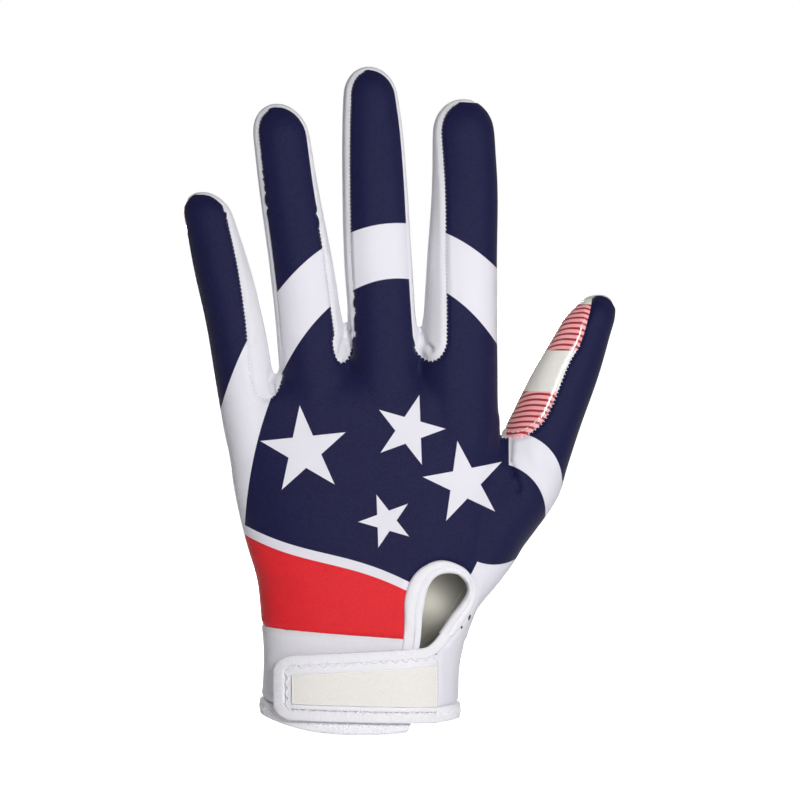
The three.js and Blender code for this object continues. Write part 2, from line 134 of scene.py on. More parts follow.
def duplicate(piece, name):
    makeActive(piece)
    bpy.ops.object.duplicate()
    copy = bpy.context.object
    copy.name = name
    return copy


def useModifier(piece, kind, **values):
    makeActive(piece)
    modifier = piece.modifiers.new(kind.lower(), kind)
    for name, value in values.items():
        setattr(modifier, name, value)
    bpy.ops.object.modifier_apply(modifier=modifier.name)


def cut(piece, tool, operation):
    useModifier(piece, "BOOLEAN", object=tool, operation=operation, solver="MANIFOLD")


def remove(*pieces):
    for piece in pieces:
        bpy.data.objects.remove(piece)


def readVertices(piece, field="co"):
    values = np.empty(len(piece.data.vertices) * 3)
    piece.data.vertices.foreach_get(field, values)
    return values.reshape(-1, 3)


def writeVertices(piece, spots):
    piece.data.vertices.foreach_set("co", spots.ravel())
    piece.data.update()


# Folds in the cloth: the side, width and depth (a ridge is above 0) in millimetres, and where each runs
folds = [
    ("back", 1.2, -0.9, [(51.6, 99.5), (51.4, 93.5), (54.6, 83.5)]),
    ("back", 2.2, -0.5, [(56.0, 98.5), (58.0, 91.0), (62.5, 84.0)]),
    ("back", 2.4, 0.35, [(54.6, 95.0), (57.5, 86.0)]),
    ("back", 2.4, -0.4, [(62.5, 97.0), (66.5, 90.0)]),
    ("back", 1.0, -1.3, [(-28.9, 128.5), (-30.4, 123.0), (-30.0, 117.5)]),
    ("back", 0.9, -1.0, [(-4.2, 138.5), (-6.9, 130.2)]),
    ("back", 0.9, -1.0, [(-4.1, 138.5), (-3.4, 130.0)]),
    ("back", 1.0, -0.9, [(21.0, 137.5), (22.4, 133.5), (24.6, 131.6)]),
    ("back", 3.5, -0.45, [(-35.0, 52.0), (-22.0, 44.0), (-8.0, 41.5)]),
    ("back", 3.2, -0.35, [(-36.5, 64.0), (-26.0, 58.0), (-14.0, 57.0)]),
    ("back", 2.6, -0.4, [(43.0, 62.0), (37.0, 52.0), (33.0, 40.0)]),
    ("palm", 1.2, -0.9, [(-4.6, 139.0), (-5.6, 130.5)]),
    ("palm", 1.2, -0.9, [(21.6, 138.0), (22.0, 130.0)]),
    ("palm", 1.2, -0.9, [(-29.4, 129.0), (-30.4, 118.0)]),
    ("palm", 3.0, -0.5, [(51.5, 97.0), (46.0, 86.0), (38.0, 74.0)]),
    ("palm", 3.5, -0.35, [(-30.0, 118.0), (-12.0, 112.0), (12.0, 112.0), (34.0, 118.0)]),
    ("palm", 4.0, -0.35, [(-40.0, 96.0), (-22.0, 90.0), (2.0, 92.0)]),
]


def foldSkin(piece):
    spots = readVertices(piece) / mm
    normals = readVertices(piece, "normal")
    front = spots[:, (0, 2)]
    shift = np.zeros(len(spots))
    for side, width, depth, run in folds:
        facing = np.clip((-2 if side == "back" else 2) * normals[:, 1], 0, 1)
        away = np.full(len(spots), 99.0)
        for start, end in zip(np.array(run), np.array(run)[1:]):
            along = end - start
            share = np.clip((front - start) @ along / (along @ along), 0, 1)
            away = np.minimum(away, np.linalg.norm(front - start - share[:, None] * along, axis=1))
        shift += facing * depth * np.exp(-(away / width) ** 2)
    writeVertices(piece, (spots + normals * shift[:, None]) * mm)


# The number of the row that ends the span round a height
def rowAbove(rows, z):
    i = 1
    while i < len(rows) - 1 and rows[i][0] < z:
        i += 1
    return i


# A table row read at any height, straight between its rows
def rowAt(rows, z):
    i = rowAbove(rows, z)
    low, high = rows[i - 1], rows[i]
    t = (z - low[0]) / (high[0] - low[0])
    return [a + (b - a) * t for a, b in zip(low, high)]


# The same table read along a smooth curve
def smoothRowAt(rows, z):
    i = rowAbove(rows, z)
    low, high = rows[i - 1], rows[i]
    before, after = rows[max(0, i - 2)], rows[min(len(rows) - 1, i + 1)]
    span = high[0] - low[0]
    t = (z - low[0]) / span
    result = [z]
    for column in range(1, len(low)):
        slopeLow = (high[column] - before[column]) / (high[0] - before[0]) * span
        slopeHigh = (after[column] - low[column]) / (after[0] - low[0]) * span
        result.append(
            (2 * t**3 - 3 * t**2 + 1) * low[column] + (t**3 - 2 * t**2 + t) * slopeLow
            + (3 * t**2 - 2 * t**3) * high[column] + (t**3 - t**2) * slopeHigh
        )
    return result


def formStations(form):
    rows = form["rows"]
    first, last = rows[0][0], rows[-1][0]
    count = max(2, round((last - first) / skin["ringStep"]))
    stations = [smoothRowAt(rows, first + (last - first) * i / count) for i in range(count + 1)]
    for degrees in skin["tipAngles"]:
        angle = math.radians(degrees)
        z = last + (form["tip"] - last) * math.sin(angle)
        place = rowAt(rows, z)
        narrow = math.cos(angle)
        stations.append([z, place[1], rows[-1][2] * narrow, place[3], rows[-1][4] * narrow])
    return stations


# A share of -1 to 1 bent towards a squarer or a rounder outline
def rounded(value, power):
    return math.copysign(abs(value) ** power, value)


# One form, drawn up from its lowest section ring by ring
def makeForm(name, form):
    clearSelection()
    bpy.ops.mesh.primitive_circle_add(vertices=skin["sides"], radius=1, fill_type="NGON")
    piece = bpy.context.object
    piece.name = name
    for vertex in piece.data.vertices:
        vertex.co.x = rounded(vertex.co.x, 2 / form["power"])
        vertex.co.y = rounded(vertex.co.y, 2 / form["power"])
    stations = formStations(form)
    start = stations[0]
    editAll()
    bpy.ops.transform.resize(value=(start[2] * mm, start[4] * mm, 1), center_override=(0, 0, 0))
    bpy.ops.transform.translate(value=(start[1] * mm, start[3] * mm, start[0] * mm))
    for low, high in zip(stations, stations[1:]):
        step = [(high[k] - low[k]) * mm for k in (1, 3, 0)]
        bpy.ops.mesh.extrude_region_move(TRANSFORM_OT_translate={"value": step})
        bpy.ops.transform.resize(
            value=(high[2] / low[2], high[4] / low[4], 1),
            center_override=(high[1] * mm, high[3] * mm, high[0] * mm),
        )
    endEdit()
    return piece


def makeSkin():
    pieces = [makeForm(name, form) for name, form in handForms.items()]
    clearSelection()
    for piece in pieces:
        piece.select_set(True)
    bpy.context.view_layer.objects.active = pieces[0]
    bpy.ops.object.join()
    whole = bpy.context.object
    whole.name = "outer_skin"
    for voxel, rounds in (("coarseVoxel", "coarseSmooth"), ("fineVoxel", "fineSmooth")):
        useModifier(whole, "REMESH", mode="VOXEL", voxel_size=skin[voxel] * mm)
        useModifier(whole, "SMOOTH", factor=0.5, iterations=skin[rounds])
    foldSkin(whole)
    return whole


outerSkin = makeSkin()
print("skin:", len(outerSkin.data.polygons), "faces")
innerSkin = duplicate(outerSkin, "inner_skin")
useModifier(innerSkin, "DISPLACE", strength=-skin["wall"] * mm, mid_level=0)
useModifier(innerSkin, "REMESH", mode="VOXEL", voxel_size=skin["innerVoxel"] * mm)
print("inner skin:", len(innerSkin.data.polygons), "faces")

# Seams, nearly as in the solids: in from the finger's outline at its root and near its tip on the left, then
# the same on the right, and the distance of the strip's end below the fingertip
backStrips = {
    "pinky": (-12, -12, 7.8, 2.0, 1.2), "ring": (1.9, 1.9, 3.2, 1.2, 1.6),
    "middle": (2.4, 2.6, 1.7, 1.0, 1.6), "index": (8.6, 2.9, -12, -12, 1.4),
}
palmStrips = {
    "pinky": (-12, -12, 2.6, 1.8, 3.4), "ring": (1.6, 1.6, 2.8, 2.4, 4.0),
    "middle": (1.6, 1.6, 2.4, 2.4, 4.8), "index": (2.0, 1.8, -12, -12, 3.0),
}
seams = {
    "gap": 0.09,
    # rounded bottom of the seam between two fingers: middle, half width, lowest point, height
    "backCrotches": [(-32.3, 5.5, 114.5, 10.5), (-5.9, 3.3, 127, 9.8), (24.2, 5.7, 127.6, 8.6)],
    "palmCrotches": [(-31.0, 2.4, 114, 8), (-6.2, 2.2, 126, 8), (22.0, 2.4, 126, 8)],
    # height, then the seam's place front to back at the little finger, the index finger and the thumb
    "side": [
        (-10, 0, 0, 3), (60, 0.4, 3, 6), (100, 0, 3, 8.6), (136, 1.0, 3.4, 12.4),
        (170, 4.0, 5.4, 14), (206, 7.0, 9.4, 15), (240, 10, 12, 16),
    ],
    "handFrom": -45, "handRun": 90, "thumbFrom": 48, "thumbRun": 14,
    "thumbInner": [
        (48.9, 101.2), (54.0, 101.0), (58.4, 102.6), (64.6, 108.9), (71.8, 125.9), (76.4, 133.8), (79.6, 144.8),
    ],
    "thumbOuter": [
        (83.8, 147.0), (84.6, 138.0), (80.0, 125.0), (73.7, 110.0), (67.3, 97.0), (60.0, 79.0),
        (45.8, 61.0), (33.0, 43.0), (25.0, 26.0),
    ],
    # how high the hem rises from the middle of the wrist to its sides, and where it crosses the flap
    "wristHalfWidth": 34, "hemRise": 6, "thumbHemRise": 4.4, "hemBend": 2.4, "hemHeight": 5.5,
    "flapHem": 3.6, "flapFrom": 24, "flapRampFrom": 26, "flapRamp": 8, "flapSide": -3,
}
keyhole = {
    "outer": [
        (13.2, 7.6), (13.4, 20), (15.0, 32), (15.3, 38), (15.5, 47), (18.5, 54.4), (24.2, 58.6), (29.9, 59.3),
        (36.3, 56.3), (39.6, 51), (39.8, 46.5), (37.6, 41), (33.6, 35.4), (29.8, 30.3),
    ],
    "inner": [
        (17.4, 7.6), (17.7, 20), (20.6, 30), (21.5, 39.7), (23, 48.4), (25.3, 52.9), (28.7, 54.8), (33.6, 54.4),
        (36.6, 51.4), (37.0, 48), (35.2, 44.6), (32.1, 40.8), (28.4, 35.9), (25.7, 32.1), (23.8, 30.2),
    ],
}


def mix(a, b, t):
    return a + (b - a) * t


def clamp01(value):
    return min(1.0, max(0.0, value))


# A smooth run of points through a few chosen ones
def smoothRun(points, steps):
    ends = [2 * np.array(points[0]) - points[1], 2 * np.array(points[-1]) - points[-2]]
    knots = np.array([ends[0], *points, ends[1]], float)
    run = []
    for i in range(1, len(knots) - 2):
        for t in np.arange(steps) / steps:
            a, b, c, d = knots[i - 1:i + 3]
            run.append(0.5 * (2 * b + (c - a) * t + (2 * a - 5 * b + 4 * c - d) * t**2
                              + (3 * b - a - 3 * c + d) * t**3))
    run.append(knots[-2])
    return [tuple(point) for point in run]


# An outline moved outwards, or inwards where the distance is negative
def grown(outline, distance):
    points = np.array(outline, float)
    after = np.roll(points, -1, axis=0) - points
    area = np.sum(points[:, 0] * np.roll(points[:, 1], -1) - np.roll(points[:, 0], -1) * points[:, 1])
    side = math.copysign(distance, area * distance) if distance else 0.0
    outward = np.stack([after[:, 1], -after[:, 0]], axis=1)
    outward /= np.linalg.norm(outward, axis=1)[:, None]
    total = outward + np.roll(outward, 1, axis=0)
    share = np.maximum(0.5, np.sum(total**2, axis=1) / 2)
    return [tuple(point) for point in points + total / share[:, None] * side]


def toMetres(points):
    return np.array(points, float) * mm


# How far the cutting shapes reach past the glove, in millimetres
space = {
    "left": -95, "right": 105, "low": -20, "high": 250, "deep": 90, "wristDeep": 30, "top": 260, "flapTop": 200,
}


# An outline in the front view carried through the hand from front to back
def prism(name, outline, back=space["deep"]):
    mesh = bpy.data.meshes.new(name)
    front = -space["deep"]
    mesh.from_pydata(toMetres([(x, front, z) for x, z in outline]), [], [list(range(len(outline)))])
    body = bpy.data.objects.new(name, mesh)
    bpy.context.collection.objects.link(body)
    makeActive(body)
    editAll()
    bpy.ops.mesh.extrude_region_move(TRANSFORM_OT_translate={"value": (0, (back - front) * mm, 0)})
    endEdit()
    return body


# A grid of cells, and the place of each of its points from 0 to 1 both ways
def newGrid(name, cells):
    clearSelection()
    bpy.ops.mesh.primitive_grid_add(x_subdivisions=cells[0], y_subdivisions=cells[1], size=1)
    piece = bpy.context.object
    piece.name = piece.data.name = name
    return piece, readVertices(piece)[:, :2] + 0.5


def finderOf(spots):
    finder = KDTree(len(spots))
    for index, spot in enumerate(spots):
        finder.insert(spot, index)
    finder.balance()
    return finder


# A block between two curved faces, given by what each does with a point of a flat grid
def block(name, cells, nearFace, farFace):
    body, flat = newGrid(name, cells)
    near, far = [toMetres([face(u, v) for u, v in flat]) for face in (nearFace, farFace)]
    writeVertices(body, near)
    finder = finderOf(near)
    editAll()
    bpy.ops.mesh.extrude_region_move()
    bpy.ops.object.mode_set(mode="OBJECT")
    for vertex in body.data.vertices:
        if vertex.select:
            vertex.co = far[finder.find(vertex.co)[1]]
    makeActive(body)
    editAll()
    endEdit()
    return body


# Place of the side seam front to back
def seamY(x, z):
    row = rowAt(seams["side"], z)
    overHand = mix(row[1], row[2], clamp01((x - seams["handFrom"]) / seams["handRun"]))
    return mix(overHand, row[3], clamp01((x - seams["thumbFrom"]) / seams["thumbRun"]))


# The space on one side of the side seam
def half(name, side, shift):
    def place(u, v):
        return mix(space["left"], space["right"], u), mix(space["low"], space["high"], v)

    def nearFace(u, v):
        x, z = place(u, v)
        return x, seamY(x, z) - side * shift, z

    def farFace(u, v):
        x, z = place(u, v)
        return x, side * space["deep"], z

    return block(name, (50, 60), nearFace, farFace)


def hemBottom(x, y):
    rise = seams["thumbHemRise"] if x > 0 else seams["hemRise"]
    if x > seams["flapFrom"] and y < 0:
        return mix(seams["flapHem"], rise, clamp01((x - seams["flapRampFrom"]) / seams["flapRamp"]))
    return rise * min(1.1, abs(x) / seams["wristHalfWidth"]) ** seams["hemBend"]


def hemTop(x, y):
    return hemBottom(x, y) + seams["hemHeight"]


cuffLine = {
    "backLeft": 36.2, "backRight": 31.2, "palm": 25.6, "palmMiddle": 4, "riseLeft": 10.6, "riseRight": 4.2,
    "turnDepth": 12,
}


# Height of the seam between the cuff and the panels above it
def cuffTop(x, y):
    width = seams["wristHalfWidth"]
    back = mix(cuffLine["backLeft"], cuffLine["backRight"], clamp01(x / (2 * width) + 0.5))
    away = x - cuffLine["palmMiddle"]
    rise = cuffLine["riseLeft"] if away < 0 else cuffLine["riseRight"]
    palm = cuffLine["palm"] + rise * min(1.1, abs(away) / width) ** 2
    return mix(back, palm, clamp01(y / cuffLine["turnDepth"] + 0.5))


# The space round the wrist between two heights
def band(name, low, high):
    def face(level):
        def spot(u, v):
            x, y = mix(space["left"], space["right"], u), mix(-space["wristDeep"], space["wristDeep"], v)
            return x, y, level(x, y)

        return spot

    return block(name, (80, 40), face(low), face(high))


def stripOutline(strips, crotches):
    outline = []
    for number, (finger, strip) in enumerate(strips.items()):
        leftRoot, leftTip, rightRoot, rightTip, top = strip
        rows = handForms[finger]["rows"]
        last = rows[-1]
        tip = handForms[finger]["tip"] - top
        before, after = crotches[max(0, number - 1)], crotches[min(len(crotches) - 1, number)]
        left, right = [], []
        for t in np.linspace(0, 1, 14):
            row = smoothRowAt(rows, mix(before[2] + before[3], last[0], t))
            left.append((row[1] - row[2] + mix(leftRoot, leftTip, t), row[0]))
            row = smoothRowAt(rows, mix(after[2] + after[3], last[0], t))
            right.append((row[1] + row[2] - mix(rightRoot, rightTip, t), row[0]))
        over = []
        for degrees in range(170, 9, -10):
            angle = math.radians(degrees)
            z = mix(last[0], tip, math.sin(angle))
            inset = leftTip if degrees > 90 else rightTip
            over.append((rowAt(rows, z)[1] + (last[2] - inset) * math.cos(angle), z))
        outline += left + over + right[::-1]
        if number < len(crotches):
            x, halfWidth, z, height = after
            for degrees in range(195, 346, 15):
                angle = math.radians(degrees)
                outline.append((x + halfWidth * math.cos(angle), z + height * (1 + math.sin(angle))))
    return outline


# The panels in the front view, closed by corners outside the glove
backOutline = [
    (-72, -20), (-72, 120), *stripOutline(backStrips, seams["backCrotches"]), (50.5, 150), (49.4, 112),
    *smoothRun(seams["thumbInner"], 8), (82, 160), (100, 160), (100, -20),
]
palmOutline = [
    (-72, -20), (-72, 120), *stripOutline(palmStrips, seams["palmCrotches"]), (50.5, 150), (49.4, 112),
    (52, 160), (100, 160), (100, -20),
]
wrapOutline = [*smoothRun(seams["thumbOuter"], 8), (25, -20), (100, -20), (100, 147)]
thumbZone = [(48.2, 98.5), (100, 98.5), (100, 160), (50.4, 160)]
opening = {"slit": 13.2, "flapSeam": 26.6, "seamTop": 29.9, "flapTop": 34, "cuffFrom": 16, "right": 60, "top": 60}
notchOutline = [
    (opening["slit"], space["low"]), *smoothRun(keyhole["outer"], 6),
    (opening["flapSeam"], opening["seamTop"]), (opening["flapSeam"], space["low"]),
]


def upTo(left, right, top):
    return [(left, space["low"]), (left, top), (right, top), (right, space["low"])]


# The space of one panel, with its share of the thumb
def panelZone(name, outline, side, thumbOutline, gap):
    zone = prism(name, grown(outline, gap))
    halfSpace = half("half_space", side, -gap)
    thumb = prism("thumb_space", grown(thumbOutline, gap))
    cut(zone, halfSpace, "INTERSECT")
    cut(zone, thumb, "UNION")
    remove(halfSpace, thumb)
    return zone


# Only the biggest of the bodies that a cut left
def keepLargest(piece, name):
    makeActive(piece)
    editAll()
    bpy.ops.mesh.separate(type="LOOSE")
    bpy.ops.object.mode_set(mode="OBJECT")
    parts = sorted(bpy.context.selected_objects, key=lambda part: len(part.data.vertices))
    remove(*parts[:-1])
    parts[-1].name = parts[-1].data.name = name
    return parts[-1]


# A piece of the glove's wall: what lies inside some zones and outside others
def carve(source, name, inside, outside):
    piece = duplicate(source, name)
    for zone in inside:
        cut(piece, zone, "INTERSECT")
    for zone in outside:
        cut(piece, zone, "DIFFERENCE")
    return keepLargest(piece, name)


gap = seams["gap"]
shell = duplicate(outerSkin, "shell")
cut(shell, innerSkin, "DIFFERENCE")
notch = prism("notch", notchOutline, 0)
aboveCuff = band("above_cuff", lambda x, y: cuffTop(x, y) + gap, lambda x, y: space["top"])
cuffBand = band("cuff_band", lambda x, y: hemTop(x, y) + gap, cuffTop)
flapZone = prism("flap_zone", upTo(opening["flapSeam"], opening["right"], opening["flapTop"]), seams["flapSide"])
flapBand = band("flap_band", lambda x, y: hemTop(x, y) + gap, lambda x, y: space["flapTop"])
cut(flapZone, flapBand, "INTERSECT")
cuffSpace = upTo(opening["cuffFrom"], opening["right"], opening["top"])
cuffOpening = prism("cuff_opening", cuffSpace, seams["flapSide"] + gap)
upper = duplicate(shell, "upper")
cut(upper, aboveCuff, "INTERSECT")
backTool = duplicate(aboveCuff, "back_tool")
cut(backTool, flapZone, "UNION")

backZone, palmZone = (backOutline, -1, wrapOutline), (palmOutline, 1, thumbZone)
backWide, palmWide = panelZone("back_wide", *backZone, gap), panelZone("palm_wide", *palmZone, gap)
backExact, palmExact = panelZone("back_exact", *backZone, 0), panelZone("palm_exact", *palmZone, 0)

cuff = carve(shell, "cuff_cloth", [cuffBand], [cuffOpening, notch])
backPanel = carve(shell, "back_cloth", [backTool, backExact], [notch])
palmPanel = carve(upper, "palm_coated", [palmExact], [backWide])


def middleLine(finger, shift):
    form = handForms[finger]
    return [(rowAt(form["rows"], z)[1] + shift, z) for z in (104, 150, 190, form["tip"] + 8)]


def makeFourchette(name, leftEdge, rightEdge):
    zone = prism("strip_zone", leftEdge + rightEdge[::-1])
    piece = carve(upper, name, [zone], [backWide, palmWide])
    remove(zone)
    return piece


fourchettes = [
    makeFourchette("strip_pinky_ring", [(-80, 104), (-80, 240)], middleLine("ring", -gap / 2)),
    makeFourchette("strip_ring_middle", middleLine("ring", gap / 2), middleLine("middle", -gap / 2)),
    makeFourchette("strip_middle_index", middleLine("middle", gap / 2), [(49, 104), (52, 240)]),
]
clothPieces = [backPanel, palmPanel, cuff, *fourchettes]
for piece in clothPieces:
    print(piece.name, len(piece.data.polygons), "faces")


# How a sewn edge rolls in at a seam and stands up a little beside it, in millimetres and degrees
seamRoll = {
    "dip": 0.5, "dipWidth": 0.75, "bulge": 0.16, "bulgeAt": 2.0, "bulgeWidth": 1.0, "reach": 6,
    "onSkin": 0.05, "meetBelowTip": 14, "meetWidth": 0.3, "edgeAngle": 40, "smoothAngle": 48,
}

skinFinder = BVHTree.FromObject(outerSkin, bpy.context.evaluated_depsgraph_get())


# Where two strips meet over a fingertip they lie flush
def whereStripsMeet(spot):
    x, z = spot.x / mm, spot.z / mm
    for finger in ("ring", "middle"):
        line = middleLine(finger, 0)
        middle = np.interp(z, [point[1] for point in line], [point[0] for point in line])
        if z > handForms[finger]["tip"] - seamRoll["meetBelowTip"] and abs(x - middle) < seamRoll["meetWidth"]:
            return True
    return False


# Rolls the outer edges of a panel inwards and gives its inner side the lining's material slot
def sewEdges(piece):
    piece.data.materials.clear()
    mesh = bmesh.new()
    mesh.from_mesh(piece.data)
    mesh.verts.ensure_lookup_table()
    outer = []
    for vertex in mesh.verts:
        _, normal, _, distance = skinFinder.find_nearest(vertex.co)
        outer.append(normal if distance < seamRoll["onSkin"] * mm else None)
    limit = math.radians(seamRoll["edgeAngle"])

    def onRim(vertex):
        if not outer[vertex.index]:
            return False
        folded = any(edge.is_manifold and edge.calc_face_angle() > limit for edge in vertex.link_edges)
        return folded and not whereStripsMeet(vertex.co)

    finder = finderOf([vertex.co for vertex in mesh.verts if onRim(vertex)])
    for vertex in mesh.verts:
        if outer[vertex.index]:
            away = finder.find(vertex.co)[2] / mm
            if away < seamRoll["reach"]:
                fromBulge = (away - seamRoll["bulgeAt"]) / seamRoll["bulgeWidth"]
                lift = -seamRoll["dip"] * math.exp(-(away / seamRoll["dipWidth"]) ** 2)
                lift += seamRoll["bulge"] * math.exp(-fromBulge ** 2)
                vertex.co += outer[vertex.index] * lift * mm
    for face in mesh.faces:
        face.material_index = 0 if any(outer[vertex.index] for vertex in face.verts) else 1
        face.smooth = True
    mesh.to_mesh(piece.data)
    mesh.free()
    makeActive(piece)
    bpy.ops.object.shade_smooth_by_angle(angle=math.radians(seamRoll["smoothAngle"]))


for piece in clothPieces:
    sewEdges(piece)
print("edges rolled")

skinReach = {"step": 1.2, "steepest": 6}


# A point of the skin in the front view, seen from the back (side -1) or the palm (side 1), lifted straight
# off it, in millimetres; nothing where the skin ends or turns away
def onSkin(x, z, lift, side, step):
    depths = []
    for spot in ((x, z), (x + step, z), (x - step, z), (x, z + step), (x, z - step)):
        start = Vector((spot[0], side * space["deep"], spot[1])) * mm
        hit = skinFinder.ray_cast(start, Vector((0, -side, 0)))[0]
        if hit is None:
            return None
        depths.append(hit.y / mm)
    slopeX, slopeZ = (depths[1] - depths[2]) / (2 * step), (depths[3] - depths[4]) / (2 * step)
    if max(abs(slopeX), abs(slopeZ)) > skinReach["steepest"]:
        return None
    normal = Vector((-slopeX, 1, -slopeZ)).normalized() * side
    return x + normal.x * lift, depths[0] + normal.y * lift, z + normal.z * lift


def onBack(x, z, lift):
    return onSkin(x, z, lift, -1, skinReach["step"])


def smoothCloth(piece):
    makeActive(piece)
    bpy.ops.object.shade_smooth_by_angle(angle=math.radians(50))
    return piece


# Cloth drawn along a path: a ring of points for each step, welded along its length, its ends closed
def clothTube(name, rings):
    piece, _ = newGrid(name, (len(rings[0]), len(rings) - 1))
    writeVertices(piece, toMetres([ring + ring[:1] for ring in rings]).reshape(-1, 3))
    editAll()
    bpy.ops.mesh.remove_doubles(threshold=1e-6)
    bpy.ops.mesh.select_all(action="DESELECT")
    bpy.ops.mesh.select_non_manifold()
    bpy.ops.mesh.fill_holes(sides=0)
    endEdit()
    return smoothCloth(piece)


# Evenly spaced points along a run, and how far along each lies
def evenly(run, spacing):
    points = np.array(run, float)
    lengths = np.concatenate([[0], np.cumsum(np.linalg.norm(np.diff(points, axis=0), axis=1))])
    stops = np.linspace(0, lengths[-1], max(2, round(lengths[-1] / spacing) + 1))
    return [tuple(np.interp(stop, lengths, points[:, k]) for k in range(points.shape[1])) for stop in stops]


hem = {
    "proud": 0.7, "wall": 1.2, "level": 4, "openFrom": 17.4, "openTo": 25.8, "endRadius": 2.6, "endShare": 0.35,
    "points": 720, "startAngle": -62, "spacing": 0.8, "ringPoints": 24, "squareAcross": 0.55, "squareUp": 0.4,
}


# The folded tape round the lower edge of the wrist
def makeHem():
    power = handForms["palm"]["power"]
    _, x, halfWidth, y, halfDepth = rowAt(handForms["palm"]["rows"], hem["level"])

    def inOpening(point):
        return hem["openFrom"] < x + halfWidth * point[0] < hem["openTo"] and point[1] < 0

    loop = []
    for k in range(hem["points"] + 1):
        angle = 2 * math.pi * k / hem["points"] + math.radians(hem["startAngle"])
        loop.append((rounded(math.cos(angle), 2 / power), rounded(math.sin(angle), 2 / power)))
    start = next(k for k, point in enumerate(loop) if not inOpening(point) and inOpening(loop[k - 1]))
    loop = [point for point in loop[start:-1] + loop[:start] if not inOpening(point)]
    thick = hem["wall"] + 2 * hem["proud"]
    rings, middle = [], []
    path = evenly([(x + halfWidth * a, y + halfDepth * b) for a, b in loop], hem["spacing"])
    for number, point in enumerate(path):
        across, deep = (point[0] - x) / halfWidth, (point[1] - y) / halfDepth
        slopes = rounded(across, power - 1) / halfWidth, rounded(deep, power - 1) / halfDepth
        normal = Vector((*slopes, 0)).normalized()
        level = hemBottom(point[0], point[1]) + seams["hemHeight"] / 2
        fromEnd = clamp01((len(path) - 1 - number) * hem["spacing"] / hem["endRadius"])
        tall = mix(hem["endShare"], 1, math.sqrt(1 - (1 - fromEnd) ** 2)) * seams["hemHeight"] / 2
        ring = []
        for k in range(hem["ringPoints"]):
            turn = 2 * math.pi * k / hem["ringPoints"]
            out = hem["proud"] - thick / 2 + rounded(math.cos(turn), hem["squareAcross"]) * thick / 2
            up = rounded(math.sin(turn), hem["squareUp"]) * tall
            ring.append((point[0] + normal.x * out, point[1] + normal.y * out, level + up))
        rings.append(ring)
        middle.append(tuple(Vector((point[0], point[1], level)) + normal * hem["proud"]))
    return clothTube("hem_tape", rings), middle


hemTape, hemMiddle = makeHem()

keyholeTape = {
    "sample": 0.25, "spacing": 0.8, "outerEnd": (32.2, 33.6), "innerEnd": (27.4, 34.5), "rise": 1.25,
    "flatBelow": 33, "flatRun": 5, "flatRise": 0.15, "edge": -0.3, "under": -1.15, "underShare": 0.96,
    "valleyAt": 0.05, "valleyDepth": 0.55, "valleyWidth": 0.18, "topPoints": 15, "underPoints": 7,
}


# The tape that is rolled round the edge of the keyhole, with a groove between its two ridges
def makeKeyholeTape():
    tape = keyholeTape
    outer = evenly(smoothRun(keyhole["outer"][:-1] + [tape["outerEnd"]], 8), tape["sample"])
    inner = evenly(smoothRun(keyhole["inner"][:-2] + [tape["innerEnd"]], 8), tape["sample"])
    count = round(len(outer) * tape["sample"] / tape["spacing"])
    rings = []
    for step in range(count + 1):
        t = step / count
        out, into = (np.array(side[round(t * (len(side) - 1))]) for side in (outer, inner))
        middle = (out + into) / 2
        rise = mix(tape["flatRise"], tape["rise"], clamp01((middle[1] - tape["flatBelow"]) / tape["flatRun"]))
        if t > 0.5:
            rise = tape["rise"]
        ring = []
        for k in range(tape["topPoints"]):
            a = -math.cos(math.pi * k / (tape["topPoints"] - 1))
            valley = tape["valleyDepth"] * math.exp(-((a - tape["valleyAt"]) / tape["valleyWidth"]) ** 2)
            lift = tape["edge"] + (rise - tape["edge"]) * (1 - a**4) ** 0.5 - valley * rise / tape["rise"]
            ring.append(onBack(*(middle + (into - out) / 2 * a), lift))
        for k in range(tape["underPoints"]):
            a = math.cos(math.pi * (k + 0.5) / tape["underPoints"])
            ring.append(onBack(*(middle + (into - out) / 2 * a * tape["underShare"]), tape["under"]))
        rings.append(ring)
    return clothTube("keyhole_tape", rings)


keyholeRoll = makeKeyholeTape()

strap = {
    "left": -27.9, "right": 26.3, "bottomLeft": 5.0, "bottomRight": 3.6, "topLeft": 26.6, "topRight": 29.7,
    "corner": 6, "tape": 3.7, "thickness": 1.4, "clearance": 1.6, "rampStart": 16, "rampEnd": -0.9,
    "tapeProud": 0.75, "tapeLift": 0.12, "tapeSquare": 0.6, "tapePoints": 20, "tapeSpacing": 0.9, "tuck": 0.1,
    # where the tape leaves the strap's top for the flap
    "topEnd": 14, "overFlap": [(21.5, 27.7), (24.6, 28.8), (27.0, 30.7), (28.9, 33.0), (30.2, 34.9)],
    "pad": {
        "left": -21.8, "right": 25.8, "bottomLeft": 10.4, "bottomRight": 9.3, "topLeft": 20.3, "topRight": 23.4,
        "thickness": 0.8,
    },
}


def strapLift(x):
    onRamp = (x - strap["rampStart"]) / (strap["right"] - strap["rampStart"])
    return mix(strap["clearance"], strap["rampEnd"], clamp01(onRamp))


# Height of the strap's top or bottom edge
def strapEdge(side, x):
    along = (x - strap["left"]) / (strap["right"] - strap["left"])
    return mix(strap[side + "Left"], strap[side + "Right"], along)


def arc(x, z, radius, angles):
    return [(x + radius * math.cos(angle), z + radius * math.sin(angle)) for angle in map(math.radians, angles)]


